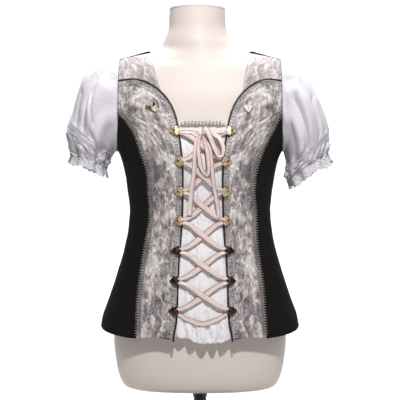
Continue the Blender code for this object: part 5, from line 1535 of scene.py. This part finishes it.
# %% [markdown]
# ## The dress form and its stand
#
# The form is a moulded shell, sprayed and flatted, so it is one smooth skin with a small bead round the neck. Its
# skin comes from the same kind of section table as the cloth. The stand is a round plate, a pole and a socket, and
# each is turned from a short profile.

# %% Dress form
ARM_PLATE_X, NECK_LEAN_X = 0.1575, -0.0055
FORM_AROUND = 108
FOOT_LIFT = 0.01  # The foot is slightly domed, so its rim is higher than the socket.
rim = ((0.9215, 0.0008), (0.9235, 0.0012), (0.925, 0.0009), (0.926, 0.0))
heights = np.concatenate(
    [np.linspace(FORM_SECTIONS[0][0], 0.172, 8), np.linspace(0.176, 0.8, 110), np.linspace(0.802, 0.9205, 50)]
)
turn = full_turn(FORM_AROUND)
rings = [section_point(FORM_SECTIONS, turn, z) for z in heights]
for ring in rings:
    if ring[0, 2] >= 0.6:
        ring[:, 0] = np.clip(ring[:, 0], -ARM_PLATE_X, ARM_PLATE_X)
for z, proud in rim:
    ring = section_point(FORM_SECTIONS, turn, z)
    ring[:, :2] *= 1 + proud / 0.0545
    rings.append(ring)
for share, z in ((0.985, 0.9265), (0.93, 0.9262), (0.86, 0.924), (0.6, 0.9236), (0.3, 0.9236), (0.04, 0.9236)):
    rings.append(section_point(FORM_SECTIONS, turn, 0.926) * [share, share, 0] + [0, 0, z])
for ring in rings:
    ring[:, 2] += FOOT_LIFT * (1 - smooth_steps((ring[:, 2] - FORM_SECTIONS[0][0]) / 0.07))
rings.insert(0, rings[0] * [0.04, 0.04, 1.0] - [0, 0, FOOT_LIFT])
points = np.stack(rings)
points[..., 0] += NECK_LEAN_X * smooth_steps((points[..., 2] - 0.836) / 0.03)
mesh = sheet_mesh("dress_form", points, points * [0.97, 0.97, 0.9995] + [0, 0, 0.0002], closed=True)
show("dress_form", mesh, ivory_lacquer)
print("form", len(mesh.polygons), "faces")


# %% Stand
def turned_piece(name, profile, sides=96):
    """A solid turned from rows of radius and height."""
    spots = [(r * math.cos(a), r * math.sin(a), z) for r, z in profile for a in full_turn(sides)]
    faces = [
        (k * sides + j, k * sides + (j + 1) % sides, (k + 1) * sides + (j + 1) % sides, (k + 1) * sides + j)
        for k in range(len(profile) - 1) for j in range(sides)
    ]
    faces.append(tuple(range(sides))[::-1])
    faces.append(tuple((len(profile) - 1) * sides + j for j in range(sides)))
    mesh = bpy.data.meshes.new(name)
    mesh.from_pydata(spots, [], faces)
    mesh.shade_smooth()
    mesh.set_sharp_from_angle(angle=math.radians(40))
    show(name, mesh, powder_coat)


turned_piece(
    "base_plate",
    (
        (0.1488, 0.0), (0.15, 0.0008), (0.15, 0.0042), (0.1494, 0.0054), (0.1482, 0.006), (0.026, 0.006),
        (0.0145, 0.0061)
    )
)
turned_piece("pole", ((0.0125, 0.0063), (0.0125, 0.1491), (0.012, 0.1494)), 48)
# The socket flares under the form, and is hardly wider than the pole below that.
socket_profile = (
    (0.0136, 0.1497), (0.014, 0.1502), (0.0142, 0.157), (0.0165, 0.1583), (0.024, 0.1591), (0.0232, 0.1597)
)
turned_piece("pole_socket", socket_profile, 64)
print("stand ready")

# %% [markdown]
# ## Stage
#
# The floor is a pale sweep that turns up behind the object.

# %% Floor and backdrop
SWEEP = (
    # y, z
    (-3.2, 0.0), (1.2, 0.0), (1.7, 0.06), (2.05, 0.25), (2.2, 0.6), (2.25, 3.2)
)
profile = through(SWEEP, 60)
spots = [(x, y, z) for y, z in profile for x in (-3.5, 3.5)]
faces = [(2 * k, 2 * k + 1, 2 * k + 3, 2 * k + 2) for k in range(len(profile) - 1)]
mesh = bpy.data.meshes.new("backdrop")
mesh.from_pydata(spots, [], faces)
mesh.shade_smooth()
backdrop = bpy.data.objects.new("backdrop", mesh)
bpy.context.scene.collection.objects.link(backdrop)
mesh.materials.append(new_material("backdrop_paper_pale", base_color="#C4C4C4", roughness=0.9)[0])
print("backdrop", len(faces), "faces")
